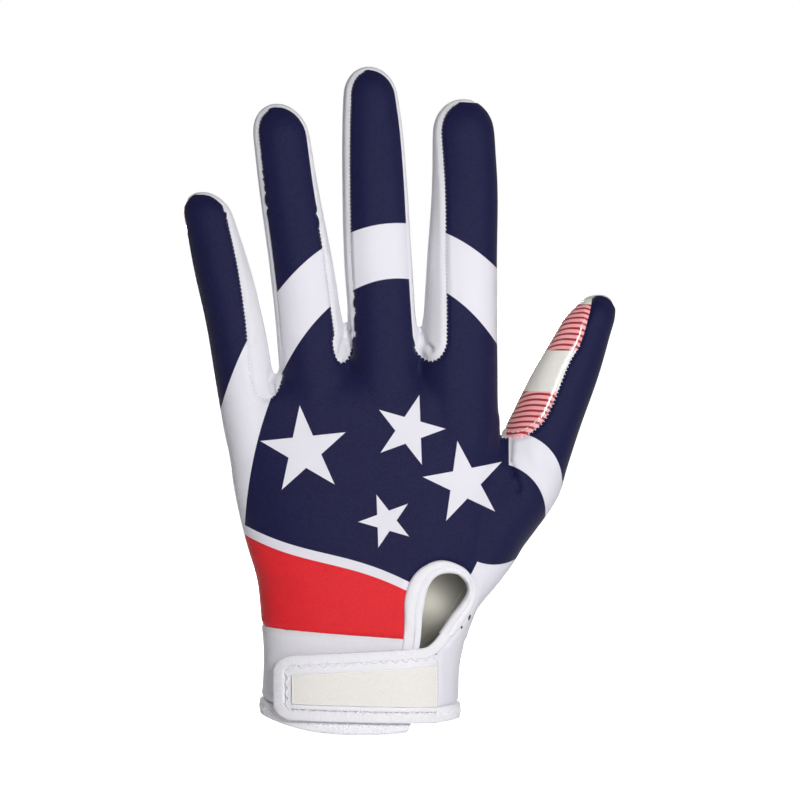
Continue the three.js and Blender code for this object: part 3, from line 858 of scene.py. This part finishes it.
# The folded tape round the strap: along the bottom, round the free end and back along the top
def makeStrapTape():
    middle = strap["tape"] / 2
    radius = strap["corner"] - middle
    right, turn = strap["right"], strap["left"] + middle + radius
    bottom, top = strapEdge("bottom", turn) + middle, strapEdge("top", turn) - middle
    path = [(right, strapEdge("bottom", right) + middle), (turn, bottom)]
    path += arc(turn, bottom + radius, radius, range(-90, -181, -6))
    path += arc(turn, top - radius, radius, range(180, 89, -6))
    path += smoothRun([(strap["topEnd"], strapEdge("top", strap["topEnd"]) - middle), *strap["overFlap"]], 6)
    path = evenly(path, strap["tapeSpacing"])
    rings = []
    for k, point in enumerate(path):
        before, after = path[max(0, k - 1)], path[min(len(path) - 1, k + 1)]
        along = Vector((after[0] - before[0], 0, after[1] - before[1])).normalized()
        ring = []
        for n in range(strap["tapePoints"]):
            turn = 2 * math.pi * n / strap["tapePoints"]
            across = rounded(math.cos(turn), strap["tapeSquare"]) * middle
            up = rounded(math.sin(turn), strap["tapeSquare"]) * (strap["thickness"] + strap["tapeProud"]) / 2
            x, z = point[0] + along.z * across, point[1] - along.x * across
            ring.append(onBack(x, z, strapLift(x) + strap["thickness"] / 2 + strap["tapeLift"] + up))
        rings.append(ring)
    return clothTube("strap_tape", rings)


# A flat piece of cloth on the back from a lift upwards, its rim rounded over
def clothPatch(name, size, cells, lift, thickness, rim):
    piece, flat = newGrid(name, cells)
    spots = []
    for u, v in flat:
        x = mix(size["left"], size["right"], u)
        bottom, top = (mix(size[side + "Left"], size[side + "Right"], u) for side in ("bottom", "top"))
        spots.append(onBack(x, mix(bottom, top, v), lift(x)))
    writeVertices(piece, toMetres(spots))
    editAll()
    endEdit()
    if sum(face.normal.y for face in piece.data.polygons) < 0:
        piece.data.flip_normals()
    useModifier(piece, "SOLIDIFY", thickness=thickness * mm, offset=-1)
    useModifier(piece, "BEVEL", width=rim * mm, segments=3, limit_method="ANGLE", angle_limit=math.radians(50))
    return smoothCloth(piece)


strapTape = makeStrapTape()
insideTape = strap["tape"] + strap["tuck"]
strapBody = {
    "left": strap["left"] + insideTape, "right": strap["right"],
    "bottomLeft": strap["bottomLeft"] + insideTape, "bottomRight": strap["bottomRight"] + insideTape,
    "topLeft": strapEdge("top", strap["left"] + strap["tape"]) - strap["tape"] + 0.9,
    "topRight": strap["topRight"] - strap["tape"] + 1.1,
}


def padBase(x):
    return strapLift(x) + strap["thickness"] + strap["tuck"]


strapCloth = clothPatch("strap_cloth", strapBody, (60, 22), strapLift, strap["thickness"], 0.2)
strapPad = clothPatch("strap_loop_pad", strap["pad"], (90, 26), padBase, strap["pad"]["thickness"], 0.3)
print("wrist pieces made")

thread = {
    "sides": 6, "rings": 4, "skinStep": 0.8, "leftEnd": -62,
    "seamRadius": 0.16, "seamPitch": 1.35, "seamReach": 0.42, "seamLift": -0.2,
    "edgeRadius": 0.24, "zigzagPitch": 1.7, "zigzagReach": 0.6, "zigzagLift": 0.42, "hemReach": 0.9,
    "topRadius": 0.16, "topPitch": 2.0, "topLength": 1.4, "topLift": 0.1, "thumbOffset": 1.9,
    "palmRows": (0, 1.3), "palmShare": 0.7, "palmLift": 0.05,
    "holeSpan": (0.24, 0.86), "holeAcross": 0.62, "holePitch": 1.5, "holeReach": 0.5, "holeRadius": 0.17,
    "holeSink": 0.1, "markRadius": 0.4, "markLift": 0.2,
    "endSpan": (9.4, 25.2), "endPoints": 12, "endOut": 0.2, "endLift": 0.3, "endRadius": 0.13,
}


# Stitches as beads of thread, each between two points in millimetres, all copied from one bead
def makeStitches(name, stitches, radius):
    clearSelection()
    bpy.ops.mesh.primitive_uv_sphere_add(segments=thread["sides"], ring_count=thread["rings"], radius=1)
    bead = bpy.context.object
    shape = readVertices(bead)
    corners = [list(face.vertices) for face in bead.data.polygons]
    spots, faces = [], []
    for start, end in stitches:
        start, end = Vector(start), Vector(end)
        turn = np.array((end - start).to_track_quat("Z", "Y").to_matrix())
        size = np.array([radius, radius, (end - start).length / 2 + radius / 2])
        faces += [[index + len(spots) * len(shape) for index in face] for face in corners]
        spots.append((shape * size) @ turn.T + np.array((start + end) / 2))
    mesh = bpy.data.meshes.new(name)
    mesh.from_pydata(np.concatenate(spots) * mm, [], faces)
    bead.data = mesh
    bead.name = name
    makeActive(bead)
    bpy.ops.object.shade_smooth()
    return bead


# Two points of the skin for each stitch of a seam: across the seam, or along it at a distance from it
def seamStitches(run, pitch, side, lift, ends):
    stitches = []
    points = evenly(run, pitch)
    for before, point, after in zip(points, points[1:], points[2:]):
        along = Vector((after[0] - before[0], after[1] - before[1])).normalized()
        places = []
        for ahead, aside in ends:
            x = point[0] + along.x * ahead + along.y * aside
            z = point[1] + along.y * ahead - along.x * aside
            places.append(onSkin(x, z, lift, side, thread["skinStep"]))
        if all(places) and thread["leftEnd"] < point[0]:
            stitches.append(places)
    return stitches


def zigzag(points):
    return list(zip(points, points[1:]))


# 1 and -1 in turn
def swayOf(number):
    return 1 if number % 2 else -1


thumbRun = smoothRun(seams["thumbInner"][:-1], 8)
backSeam = [point for point in stripOutline(backStrips, seams["backCrotches"]) if point[0] < 49]
reach = thread["seamReach"]
across = []
for run in (backSeam, thumbRun):
    across += seamStitches(run, thread["seamPitch"], -1, thread["seamLift"], [(0, -reach), (0, reach)])
seamThread = makeStitches("seam_stitches", across, thread["seamRadius"])

topHalf, aside = thread["topLength"] / 2, thread["thumbOffset"]
top = seamStitches(thumbRun, thread["topPitch"], -1, thread["topLift"], [(-topHalf, -aside), (topHalf, -aside)])
palmHalf = topHalf * thread["palmShare"]
indexRun = [(42.6, 110), (43.2, 130), (43.6, 150), (44.2, 170), (44.3, 186), (43.2, 204)]
for inset in thread["palmRows"]:
    run = [(x - inset, z) for x, z in indexRun]
    top += seamStitches(run, thread["topPitch"], 1, thread["palmLift"], [(-palmHalf, 0), (palmHalf, 0)])
topThread = makeStitches("palm_stitches", top, thread["topRadius"])

turnX = -23.4  # where the strap's stitches go round its free end
strapRun = [(25.6, 7.2), (-22.9, 8.4), (turnX, 8.9), (turnX, 22.3), (-22.9, 22.9), (14, 25.2), (25.6, 26.2)]
swing = []
for number, (x, z) in enumerate(evenly(strapRun, thread["zigzagPitch"])):
    sway = thread["zigzagReach"] * swayOf(number)
    x, z = (x + sway, z) if abs(x - turnX) < 0.3 else (x, z + sway)
    swing.append(onBack(x, z, strapLift(x) + strap["thickness"] + thread["zigzagLift"]))
edgeThread = makeStitches("strap_stitches", zigzag(swing), thread["edgeRadius"])

hemSwing = []
for number, (x, y, z) in enumerate(evenly(hemMiddle, thread["zigzagPitch"])):
    hemSwing.append((x, y, z + thread["hemReach"] * swayOf(number)))
hemThread = makeStitches("hem_stitches", zigzag(hemSwing), thread["edgeRadius"])

outer, inner = (evenly(smoothRun(keyhole[side], 8), 0.2) for side in ("outer", "inner"))
topRun = []
for t in np.linspace(*thread["holeSpan"], 60):
    out, into = outer[round(t * (len(outer) - 1))], inner[round(t * (len(inner) - 1))]
    topRun.append(tuple(mix(a, b, thread["holeAcross"]) for a, b in zip(out, into)))
holeLift, reach = keyholeTape["rise"] - thread["holeSink"], thread["holeReach"]
tapeTop = seamStitches(topRun, thread["holePitch"], -1, holeLift, [(-reach, 0), (reach, 0)])
tapeThread = makeStitches("keyhole_stitches", tapeTop, thread["holeRadius"])

marks = [((37.2, 38.6), (37.8, 40.3)), ((34.7, 35.9), (35.0, 36.5))]
marks = [[onBack(*spot, thread["markLift"]) for spot in mark] for mark in marks]
markThread = makeStitches("keyhole_marks", marks, thread["markRadius"])

# A grey line of thread on the flap beside the strap's end, drawn as a stitched seam: painted shade, standing for
# the shadow along the strap's end step
endX, endHeights = strap["right"] + thread["endOut"], np.linspace(*thread["endSpan"], thread["endPoints"])
endShadowRun = [onBack(endX, z, thread["endLift"]) for z in endHeights]
endSeamShadow = makeStitches("strap_end_seam_shadow", zigzag(endShadowRun), thread["endRadius"])
print("stitches:", len(across), len(top), len(swing), len(hemSwing))
remove(outerSkin, innerSkin, shell, notch, aboveCuff, cuffBand, flapZone, flapBand, cuffOpening, upper)
remove(backWide, palmWide, backExact, palmExact, backTool)

pieces = [
    (backPanel, "back_panel", "print_fabric"), (palmPanel, "palm_panel", "coated_palm"),
    (cuff, "cuff", "white_fabric"), (fourchettes[0], "fourchette_pinky_ring", "white_fabric"),
    (fourchettes[1], "fourchette_ring_middle", "white_fabric"),
    (fourchettes[2], "fourchette_middle_index", "white_fabric"),
    (hemTape, "hem_binding", "binding_tape"), (keyholeRoll, "keyhole_binding", "binding_tape"),
    (strapTape, "strap_binding", "binding_tape"), (strapCloth, "closure_strap", "strap_fabric"),
    (strapPad, "strap_pad", "loop_pad"),
]
for piece, node, slot in pieces:
    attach(piece, "root")
    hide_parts(node)
threads = [seamThread, topThread, edgeThread, hemThread, tapeThread, markThread, endSeamShadow]
for piece in threads:
    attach(piece, "root")


# Colours, as red, green and blue from 0 to 255 on the screen
colours = {
    "navy": (34, 32, 78), "printWhite": (226, 224, 232), "stripePink": (250, 176, 176),
    "stripeRed": (160, 40, 54), "white": (226, 225, 231), "tape": (237, 236, 241), "strap": (233, 232, 236),
    # the pad's rim colour is a painted highlight on its raised edge
    "pad": (237, 234, 229), "padRimHighlight": (246, 245, 244), "lining": (140, 138, 129), "thread": (240, 240, 246),
    # the grey of the line at the strap's end is painted shade, the shadow of the strap's end step
    "mark": (52, 48, 60), "seamShadowGrey": (128, 126, 134), "floor": (247, 247, 248),
}
# Printed colours that vary over the cloth, from dark to bright, as shares of light
inks = {
    "navy": ((0.001, 0.001, 0.012, 1), (0.020, 0.020, 0.090, 1)),
    "red": ((0.58, 0.010, 0.017, 1), (0.88, 0.036, 0.046, 1)),
    "cream": ((0.80, 0.78, 0.72, 1), (0.88, 0.865, 0.81, 1)),
}


def linear(name):
    values = [channel / 255 for channel in colours[name]]
    return (*[v / 12.92 if v < 0.04045 else ((v + 0.055) / 1.055) ** 2.4 for v in values], 1)


# A new node with its inputs and settings; gives back one of its outputs
def addNode(tree, kind, inputs, output=0, **settings):
    node = tree.nodes.new(kind)
    for name, value in settings.items():
        setattr(node, name, value)
    for key, value in inputs.items():
        if isinstance(value, bpy.types.NodeSocket):
            tree.links.new(value, node.inputs[key])
        else:
            node.inputs[key].default_value = value
    return node.outputs[output]


# A material under construction: each method adds nodes and gives back an output
class Cloth:
    def __init__(self, name):
        self.material = bpy.data.materials.new(name)
        self.material.use_nodes = True
        self.tree = self.material.node_tree
        self.shader = self.tree.nodes["Principled BSDF"]

    def add(self, kind, inputs, output=0, **settings):
        return addNode(self.tree, kind, inputs, output, **settings)

    def math(self, operation, a, b=0.0, c=0.0):
        return self.add("ShaderNodeMath", {0: a, 1: b, 2: c}, operation=operation)

    def plus(self, a, b):
        return self.math("ADD", a, b)

    def minus(self, a, b):
        return self.math("SUBTRACT", a, b)

    def times(self, a, b):
        return self.math("MULTIPLY", a, b)

    def over(self, a, b):
        return self.math("DIVIDE", a, b)

    def most(self, a, b):
        return self.math("MAXIMUM", a, b)

    def rest(self, share):
        return self.minus(1.0, share)

    def length(self, a, b):
        return self.math("SQRT", self.plus(self.times(a, a), self.times(b, b)))

    def placeMm(self):
        spot = self.add("ShaderNodeTexCoord", {}, output=3)
        return self.add("ShaderNodeVectorMath", {0: spot, 1: (1000, 1000, 1000)}, operation="MULTIPLY")

    def split(self, vector):
        node = self.tree.nodes.new("ShaderNodeSeparateXYZ")
        self.tree.links.new(vector, node.inputs[0])
        return node.outputs

    def smoothStep(self, value, low, high):
        ends = {0: value, 1: low, 2: high, 3: 0.0, 4: 1.0}
        return self.add("ShaderNodeMapRange", ends, interpolation_type="SMOOTHSTEP")

    # 1 where the value is past a level, or short of it, with a soft edge
    def above(self, value, level, edge):
        return self.smoothStep(value, level - edge, level + edge)

    def below(self, value, level, edge):
        return self.smoothStep(value, level + edge, level - edge)

    def noise(self, vector, scale, detail=2.0, roughness=0.5):
        inputs = {"Vector": vector, "Scale": scale, "Detail": detail, "Roughness": roughness}
        return self.add("ShaderNodeTexNoise", inputs)

    def blend(self, share, a, b):
        return self.add("ShaderNodeMix", {0: share, 6: a, 7: b}, output=2, data_type="RGBA")

    # A colour that varies with a share from darker to brighter
    def shade(self, share, name, dark, bright):
        base = linear(name)[:3]
        low, high = ((*[min(1, channel * factor) for channel in base], 1) for factor in (dark, bright))
        return self.blend(share, low, high)

    def bump(self, height, distance, strength):
        return self.add("ShaderNodeBump", {"Height": height, "Distance": distance, "Strength": strength})

    def finish(self, colour, normal=None, **values):
        if isinstance(colour, bpy.types.NodeSocket):
            self.tree.links.new(colour, self.shader.inputs["Base Color"])
        else:
            self.shader.inputs["Base Color"].default_value = colour
        if normal:
            self.tree.links.new(normal, self.shader.inputs["Normal"])
        for name, value in values.items():
            self.shader.inputs[name.replace("_", " ")].default_value = value
        return self.material


starShape = {"points": 5, "waist": 0.382, "edge": 0.09}


# A star as a mask: 1 inside, 0 outside
def starMask(cloth, x, z, centre, radius, turn):
    px, pz = cloth.minus(x, centre[0]), cloth.minus(z, centre[1])
    reach = cloth.length(px, pz)
    sector = 2 * math.pi / starShape["points"]
    angle = cloth.plus(cloth.math("ARCTAN2", px, pz), math.radians(turn) + 10 * math.pi + sector / 2)
    folded = cloth.math("ABSOLUTE", cloth.minus(cloth.math("MODULO", angle, sector), sector / 2))
    along = cloth.times(reach, cloth.math("COSINE", folded))
    aside = cloth.times(reach, cloth.math("SINE", folded))
    inner = starShape["waist"]
    innerAlong, innerAside = inner * math.cos(sector / 2), inner * math.sin(sector / 2)
    length = math.hypot(innerAlong - 1, innerAside)
    normalAlong, normalAside = innerAside / length, (1 - innerAlong) / length
    past = cloth.plus(cloth.times(along, normalAlong), cloth.times(aside, normalAside))
    return cloth.above(cloth.minus(radius * normalAlong, past), 0, starShape["edge"])


printLayout = {
    "edge": 0.09, "pitch": 0.62,
    "arch": {"centre": (13, 60), "outer": (68, 115), "inner": (53, 96), "above": 62},
    "stars": [((-19, 97), 15.5, 6), ((17, 104), 12.5, -16), ((9, 73), 9.5, 20), ((36, 86), 14.5, 10)],
    "redEdge": {
        "level": 58.5, "slope": -0.40, "middle": -12, "wave": 2.2, "length": 13, "piping": 3.4, "right": 20,
    },
    "thumbRoot": {
        "centre": (52.6, 85.6), "radius": 17.2, "below": 86, "belowAtPalm": 60, "archEnd": 50.6, "palmFrom": 3.0,
        "palmTo": 10.0,
    },
    "tongue": {
        "centre": (46.6, 75.0), "radius": 17.4, "web": 51.3, "left": 11, "leftAbove": 40, "leftBelow": 59,
        "slant": 0.5,
    },
}


# Height as a fine knit: rows and columns of small loops
def knitHeight(cloth, place, pitch):
    x, y, z = cloth.split(place)
    rows = cloth.math("SINE", cloth.times(z, 2 * math.pi / pitch))
    columns = cloth.math("SINE", cloth.times(cloth.plus(x, cloth.times(y, 0.6)), 2 * math.pi / (pitch * 0.8)))
    return cloth.times(rows, columns)


def makePrintFinish():
    cloth = Cloth("print_knit")
    place = cloth.placeMm()
    x, y, z = cloth.split(place)
    edge, layout = printLayout["edge"], printLayout["arch"]
    root, tongue, line = printLayout["thumbRoot"], printLayout["tongue"], printLayout["redEdge"]

    def insideEllipse(radii):
        a, b = (cloth.over(cloth.minus(v, layout["centre"][i]), radii[i]) for i, v in enumerate((x, z)))
        return cloth.below(cloth.length(a, b), 1, edge / 80)

    def insideCircle(circle):
        reach = cloth.length(cloth.minus(x, circle["centre"][0]), cloth.minus(z, circle["centre"][1]))
        return cloth.below(reach, circle["radius"], edge)

    # The arch, the stars and the white edge over the red panel
    arch = cloth.minus(insideEllipse(layout["outer"]), insideEllipse(layout["inner"]))
    arch = cloth.times(arch, cloth.above(z, layout["above"], edge))
    white = cloth.times(arch, cloth.below(x, root["archEnd"], edge))
    for centre, radius, turn in printLayout["stars"]:
        white = cloth.most(white, starMask(cloth, x, z, centre, radius, turn))
    shifted = cloth.minus(x, line["middle"])
    wave = cloth.times(cloth.math("SINE", cloth.over(shifted, line["length"])), line["wave"])
    level = cloth.plus(cloth.math("MULTIPLY_ADD", shifted, line["slope"], line["level"]), wave)
    overLine = cloth.minus(z, level)
    leftOfFlap = cloth.below(x, line["right"], edge)
    red = cloth.times(cloth.below(overLine, 0, edge), leftOfFlap)
    white = cloth.most(white, cloth.times(cloth.below(overLine, line["piping"], edge), leftOfFlap))

    # The white root of the thumb, which the navy of the hand cuts into
    toPalm = cloth.smoothStep(y, root["palmFrom"], root["palmTo"])
    level = cloth.math("MULTIPLY_ADD", toPalm, root["belowAtPalm"] - root["below"], root["below"])
    rootArea = cloth.times(insideCircle(root), cloth.rest(toPalm))
    rootArea = cloth.most(rootArea, cloth.below(cloth.minus(z, level), 0, edge))
    web = cloth.times(cloth.below(x, tongue["web"], edge), cloth.above(z, tongue["centre"][1], edge))
    slanted = cloth.minus(x, cloth.times(z, tongue["slant"]))
    left = cloth.times(cloth.below(slanted, tongue["left"], edge), cloth.above(z, tongue["leftAbove"], edge))
    left = cloth.times(left, cloth.below(z, tongue["leftBelow"], edge))
    overLeft = cloth.smoothStep(z, tongue["leftBelow"] - 3 * edge, tongue["leftBelow"] - edge)
    middle = cloth.times(cloth.below(x, tongue["centre"][0], edge), overLeft)
    left = cloth.most(cloth.most(left, middle), leftOfFlap)
    hand = cloth.most(cloth.most(insideCircle(tongue), web), left)
    white = cloth.most(white, cloth.times(rootArea, cloth.rest(hand)))

    speckle = cloth.noise(place, 1.3, 5.0, 0.85)
    ground = cloth.blend(white, cloth.blend(speckle, *inks["navy"]), linear("printWhite"))
    colour = cloth.blend(red, ground, cloth.blend(speckle, *inks["red"]))
    height = cloth.plus(knitHeight(cloth, place, printLayout["pitch"]), cloth.times(speckle, 2.0))
    normal = cloth.bump(height, 0.00006, 0.55)
    gloss = {"Roughness": 0.46, "Specular_IOR_Level": 0.11, "Sheen_Weight": 0.03, "Sheen_Roughness": 0.5}
    return cloth.finish(colour, normal, **gloss)


def makeKnitFinish(name, colour, pitch=0.6, strength=0.5, **values):
    cloth = Cloth(name)
    place = cloth.placeMm()
    speckle = cloth.noise(place, 1.6, 3.0, 0.6)
    height = cloth.plus(knitHeight(cloth, place, pitch), cloth.times(speckle, 1.6))
    normal = cloth.bump(height, 0.00006, strength)
    gloss = {"Roughness": 0.8, "Specular_IOR_Level": 0.3, "Sheen_Weight": 0.2, **values}
    return cloth.finish(cloth.shade(speckle, colour, 0.93, 1.05), normal, **gloss)


palmLayout = {
    "turn": -19, "cell": (47, 36), "blockFrom": (0.14, 0.16), "block": (0.66, 0.62), "soft": 0.004, "shift": (9, 4),
    "pitch": 2.35, "share": 0.40, "stripeSoft": 0.08, "stripeStart": 500.0,
    "star": 6.4, "starAt": (0.86, 0.2), "starTurn": 12, "halo": 1.35,
    # on the thumb
    "leanFrom": 46.0, "leanTo": 56.0, "thumbLean": 2.2, "thumbFrom": 50.5, "thumbShift": 26.5, "thumbPitch": 30.0,
    "thumbBlock": (0.25, 0.78),
}


# Glossy coated palm, printed with slanted blocks of pinstripes and small stars under the coat
def makePalmFinish():
    cloth, layout = Cloth("coated_palm"), palmLayout
    place = cloth.placeMm()
    x, y, z = cloth.split(place)
    onThumb = cloth.above(x, layout["thumbFrom"], 0.1)
    offThumb = cloth.rest(onThumb)
    lean = cloth.times(cloth.smoothStep(x, layout["leanFrom"], layout["leanTo"]), layout["thumbLean"])
    x = cloth.plus(x, cloth.times(y, lean))
    turn = math.radians(layout["turn"])
    u = cloth.plus(cloth.times(x, math.cos(turn)), cloth.times(z, math.sin(turn)))
    v = cloth.minus(cloth.times(z, math.cos(turn)), cloth.times(x, math.sin(turn)))
    width, height = layout["cell"]
    row = cloth.over(cloth.plus(v, layout["shift"][1] + 10 * height), height)
    rowNumber = cloth.math("FLOOR", row)
    inRow = cloth.minus(row, rowNumber)
    offset = cloth.times(cloth.math("MODULO", rowNumber, 2.0), 0.5)
    column = cloth.plus(cloth.over(cloth.plus(u, layout["shift"][0] + 10 * width), width), offset)
    inColumn = cloth.math("FRACT", column)

    def within(value, low, high):
        return cloth.times(cloth.above(value, low, layout["soft"]), cloth.below(value, high, layout["soft"]))

    (left, low), (wide, tall) = layout["blockFrom"], layout["block"]
    block = cloth.times(within(inColumn, left, left + wide), within(inRow, low, low + tall))
    thumbCell = cloth.math("FRACT", cloth.over(cloth.plus(z, layout["thumbShift"]), layout["thumbPitch"]))
    thumbBlock = within(thumbCell, *layout["thumbBlock"])
    block = cloth.plus(cloth.times(block, offThumb), cloth.times(thumbBlock, onThumb))
    across = cloth.math("FRACT", cloth.over(cloth.plus(v, layout["stripeStart"]), layout["pitch"]))
    share, soft = layout["share"], layout["stripeSoft"]
    stripe = cloth.times(cloth.smoothStep(across, 0.0, soft), cloth.smoothStep(across, share + soft, share))
    printed = cloth.blend(stripe, linear("stripePink"), linear("stripeRed"))
    starX = cloth.times(cloth.minus(inColumn, layout["starAt"][0]), width)
    starZ = cloth.times(cloth.minus(inRow, layout["starAt"][1]), height)
    star, halo = (
        cloth.times(starMask(cloth, starX, starZ, (0, 0), layout["star"] * size, layout["starTurn"]), offThumb)
        for size in (1, layout["halo"])
    )
    ground = cloth.blend(cloth.noise(place, 0.09, 2.0), *inks["cream"])
    colour = cloth.blend(halo, cloth.blend(block, ground, printed), ground)
    colour = cloth.blend(star, colour, linear("navy"))
    grain = cloth.noise(place, 1.1, 3.0, 0.6)
    waves = cloth.noise(place, 0.12, 2.0, 0.5)
    normal = cloth.bump(cloth.plus(cloth.times(grain, 0.12), waves), 0.0006, 0.5)
    gloss = {"Roughness": 0.34, "Specular_IOR_Level": 0.5}
    return cloth.finish(colour, normal, **gloss, Coat_Weight=0.85, Coat_Roughness=0.09, Coat_IOR=1.5)


# Elastic tape: ribs across its run, and a soft nap
def makeTapeFinish(name, length, pitch=0.85):
    cloth = Cloth(name)
    along = cloth.split(cloth.add("ShaderNodeUVMap", {}))[1]
    ribs = cloth.math("SINE", cloth.times(along, 2 * math.pi * length / pitch))
    nap = cloth.noise(cloth.placeMm(), 2.2, 3.0, 0.7)
    normal = cloth.bump(cloth.plus(cloth.times(ribs, 0.5), cloth.times(nap, 1.4)), 0.00010, 0.6)
    gloss = {"Roughness": 0.85, "Specular_IOR_Level": 0.25, "Sheen_Weight": 0.3}
    return cloth.finish(cloth.shade(nap, "tape", 0.90, 1.05), normal, **gloss)


# Brushed loops inside a pressed rim; the rim is raised by the bump and painted brighter, a painted highlight along
# its raised edge
def makePadFinish():
    cloth = Cloth("loop_nap")
    place = cloth.placeMm()
    pad, rim, soft = strap["pad"], 0.4, 0.12
    across, up, _ = cloth.split(cloth.add("ShaderNodeUVMap", {}))
    inside = 100.0
    for share, size in ((across, pad["right"] - pad["left"]), (up, pad["topRight"] - pad["bottomRight"])):
        toEdge = cloth.math("MINIMUM", share, cloth.rest(share))
        inside = cloth.math("MINIMUM", inside, cloth.times(toEdge, size))
    onRim = cloth.below(inside, rim, soft)
    nap = cloth.noise(place, 1.3, 4.0, 0.7)
    tufts = cloth.noise(place, 0.35, 2.0, 0.5)
    # Painted highlight: the rim takes a brighter colour than the pad, standing for light caught on its raised edge
    colour = cloth.blend(onRim, cloth.shade(nap, "pad", 0.86, 1.06), linear("padRimHighlight"))
    height = cloth.plus(cloth.times(nap, cloth.rest(onRim)), cloth.times(onRim, 1.1))
    normal = cloth.bump(cloth.plus(height, cloth.times(tufts, 0.6)), 0.00018, 0.8)
    return cloth.finish(colour, normal, Roughness=0.85, Specular_IOR_Level=0.25, Sheen_Weight=0.35)


def makeThreadFinish(name, colour):
    cloth = Cloth(name)
    normal = cloth.bump(cloth.noise(cloth.placeMm(), 3.5, 2.0, 0.6), 0.00008, 0.6)
    return cloth.finish(linear(colour), normal, Roughness=0.45, Specular_IOR_Level=0.5, Sheen_Weight=0.2)


lining = makeKnitFinish("lining", "lining", pitch=0.9, Sheen_Weight=0.1)
whiteFinish = makeKnitFinish("white_knit", "white")
outside = {
    "back_cloth": makePrintFinish(), "palm_coated": makePalmFinish(), "cuff_cloth": whiteFinish,
    "strip_pinky_ring": whiteFinish, "strip_ring_middle": whiteFinish, "strip_middle_index": whiteFinish,
    "strap_cloth": makeKnitFinish("strap_laminate", "strap", pitch=0.5, strength=0.25, Roughness=0.6),
    "strap_loop_pad": makePadFinish(),
}
tapeLengths = {"hem_tape": 172, "keyhole_tape": 117, "strap_tape": 125}
for name, length in tapeLengths.items():
    outside[name] = makeTapeFinish(name, length)
for piece, node, slot in pieces:
    piece.data.materials.append(outside[piece.name])
    piece.data.materials.append(lining)
hookFinish = makeKnitFinish("hook_tape", "strap", pitch=0.8, strength=0.9)
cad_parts["hook_patch"].material_slots[0].material = hookFinish

whiteThread = makeThreadFinish("white_thread", "thread")
for piece in threads:
    piece.data.materials.append(whiteThread)
markThread.data.materials[0] = makeThreadFinish("dark_thread", "mark")
# Painted shade: the line at the strap's end is grey, as the shadow of the strap's end step
endSeamShadow.data.materials[0] = makeThreadFinish("seam_shadow", "seamShadowGrey")
print("finishes made")

studio = {
    "floorZ": -0.001, "floorSize": 30.0, "paperGlow": 0.12, "paperSeen": 1.0,
    "frontGlow": 0.04, "rearGlow": 0.26, "seenGlow": 1.0,
}
# name, place, aim, size, power and, for a long one, its height
lights = [
    ("key_softbox", (0.38, -1.08, 0.42), (0, 0, 0.1), 0.3, 10.7, None),
    ("fill_softbox", (-0.8, -0.7, 0.5), (0, 0, 0.1), 0.4, 0.15, None),
    ("rear_softbox", (-0.25, 1.1, 0.30), (0, 0, 0.1), 0.12, 7.6, 0.6),
    ("inside_glow", (0.024, 0.0105, 0.0445), (0.0245, 0.02, 0.0445), 0.003, 0.0012, None),
]


# Pale paper under a soft room that is brighter behind the glove
def makeStudio():
    clearSelection()
    bpy.ops.mesh.primitive_plane_add(size=studio["floorSize"], location=(0, 0, studio["floorZ"]))
    floor = bpy.context.object
    floor.name = "studio_floor"
    paper = Cloth("pale_paper")
    seenDirect = paper.add("ShaderNodeLightPath", {})
    glow = paper.math("MULTIPLY_ADD", seenDirect, studio["paperSeen"] - studio["paperGlow"], studio["paperGlow"])
    paper.tree.links.new(glow, paper.shader.inputs["Emission Strength"])
    floor.data.materials.append(paper.finish(linear("floor"), Roughness=0.9, Emission_Color=(1, 1, 1, 1)))
    room = bpy.data.worlds.new("soft_room")
    bpy.context.scene.world = room
    room.use_nodes = True
    tree, backdrop = room.node_tree, room.node_tree.nodes["Background"]
    toBack = addNode(tree, "ShaderNodeSeparateXYZ", {0: addNode(tree, "ShaderNodeTexCoord", {})}, output=1)
    glows = {0: toBack, 1: -1, 2: 1, 3: studio["frontGlow"], 4: studio["rearGlow"]}
    level = addNode(tree, "ShaderNodeMapRange", glows)
    seenDirect = addNode(tree, "ShaderNodeLightPath", {})
    level = addNode(tree, "ShaderNodeMix", {0: seenDirect, 2: level, 3: studio["seenGlow"]})
    tree.links.new(level, backdrop.inputs[1])
    backdrop.inputs[0].default_value = (1, 1, 1, 1)


def addLight(name, place, aim, size, power, height):
    clearSelection()
    bpy.ops.object.light_add(type="AREA", location=place)
    light = bpy.context.object
    light.name = name
    light.data.size = size
    light.data.energy = power
    if height:
        light.data.shape = "RECTANGLE"
        light.data.size_y = height
    light.rotation_euler = (Vector(aim) - Vector(place)).to_track_quat("-Z", "Y").to_euler()


makeStudio()
for light in lights:
    addLight(*light)

view = {"target": (0.0138, 0, 0.1140), "distance": 2.2, "elevation": 1.5, "lens": 287}
clearSelection()
bpy.ops.object.camera_add()
camera = bpy.context.object
camera.name = "photo_camera"
tilt = math.radians(view["elevation"])
camera.location = Vector(view["target"]) + Vector((0, -math.cos(tilt), math.sin(tilt))) * view["distance"]
camera.rotation_euler = (Vector(view["target"]) - camera.location).to_track_quat("-Z", "Y").to_euler()
camera.data.lens = view["lens"]
bpy.context.scene.camera = camera
bpy.context.scene.view_settings.view_transform = "Standard"
print("studio, lights and camera set")
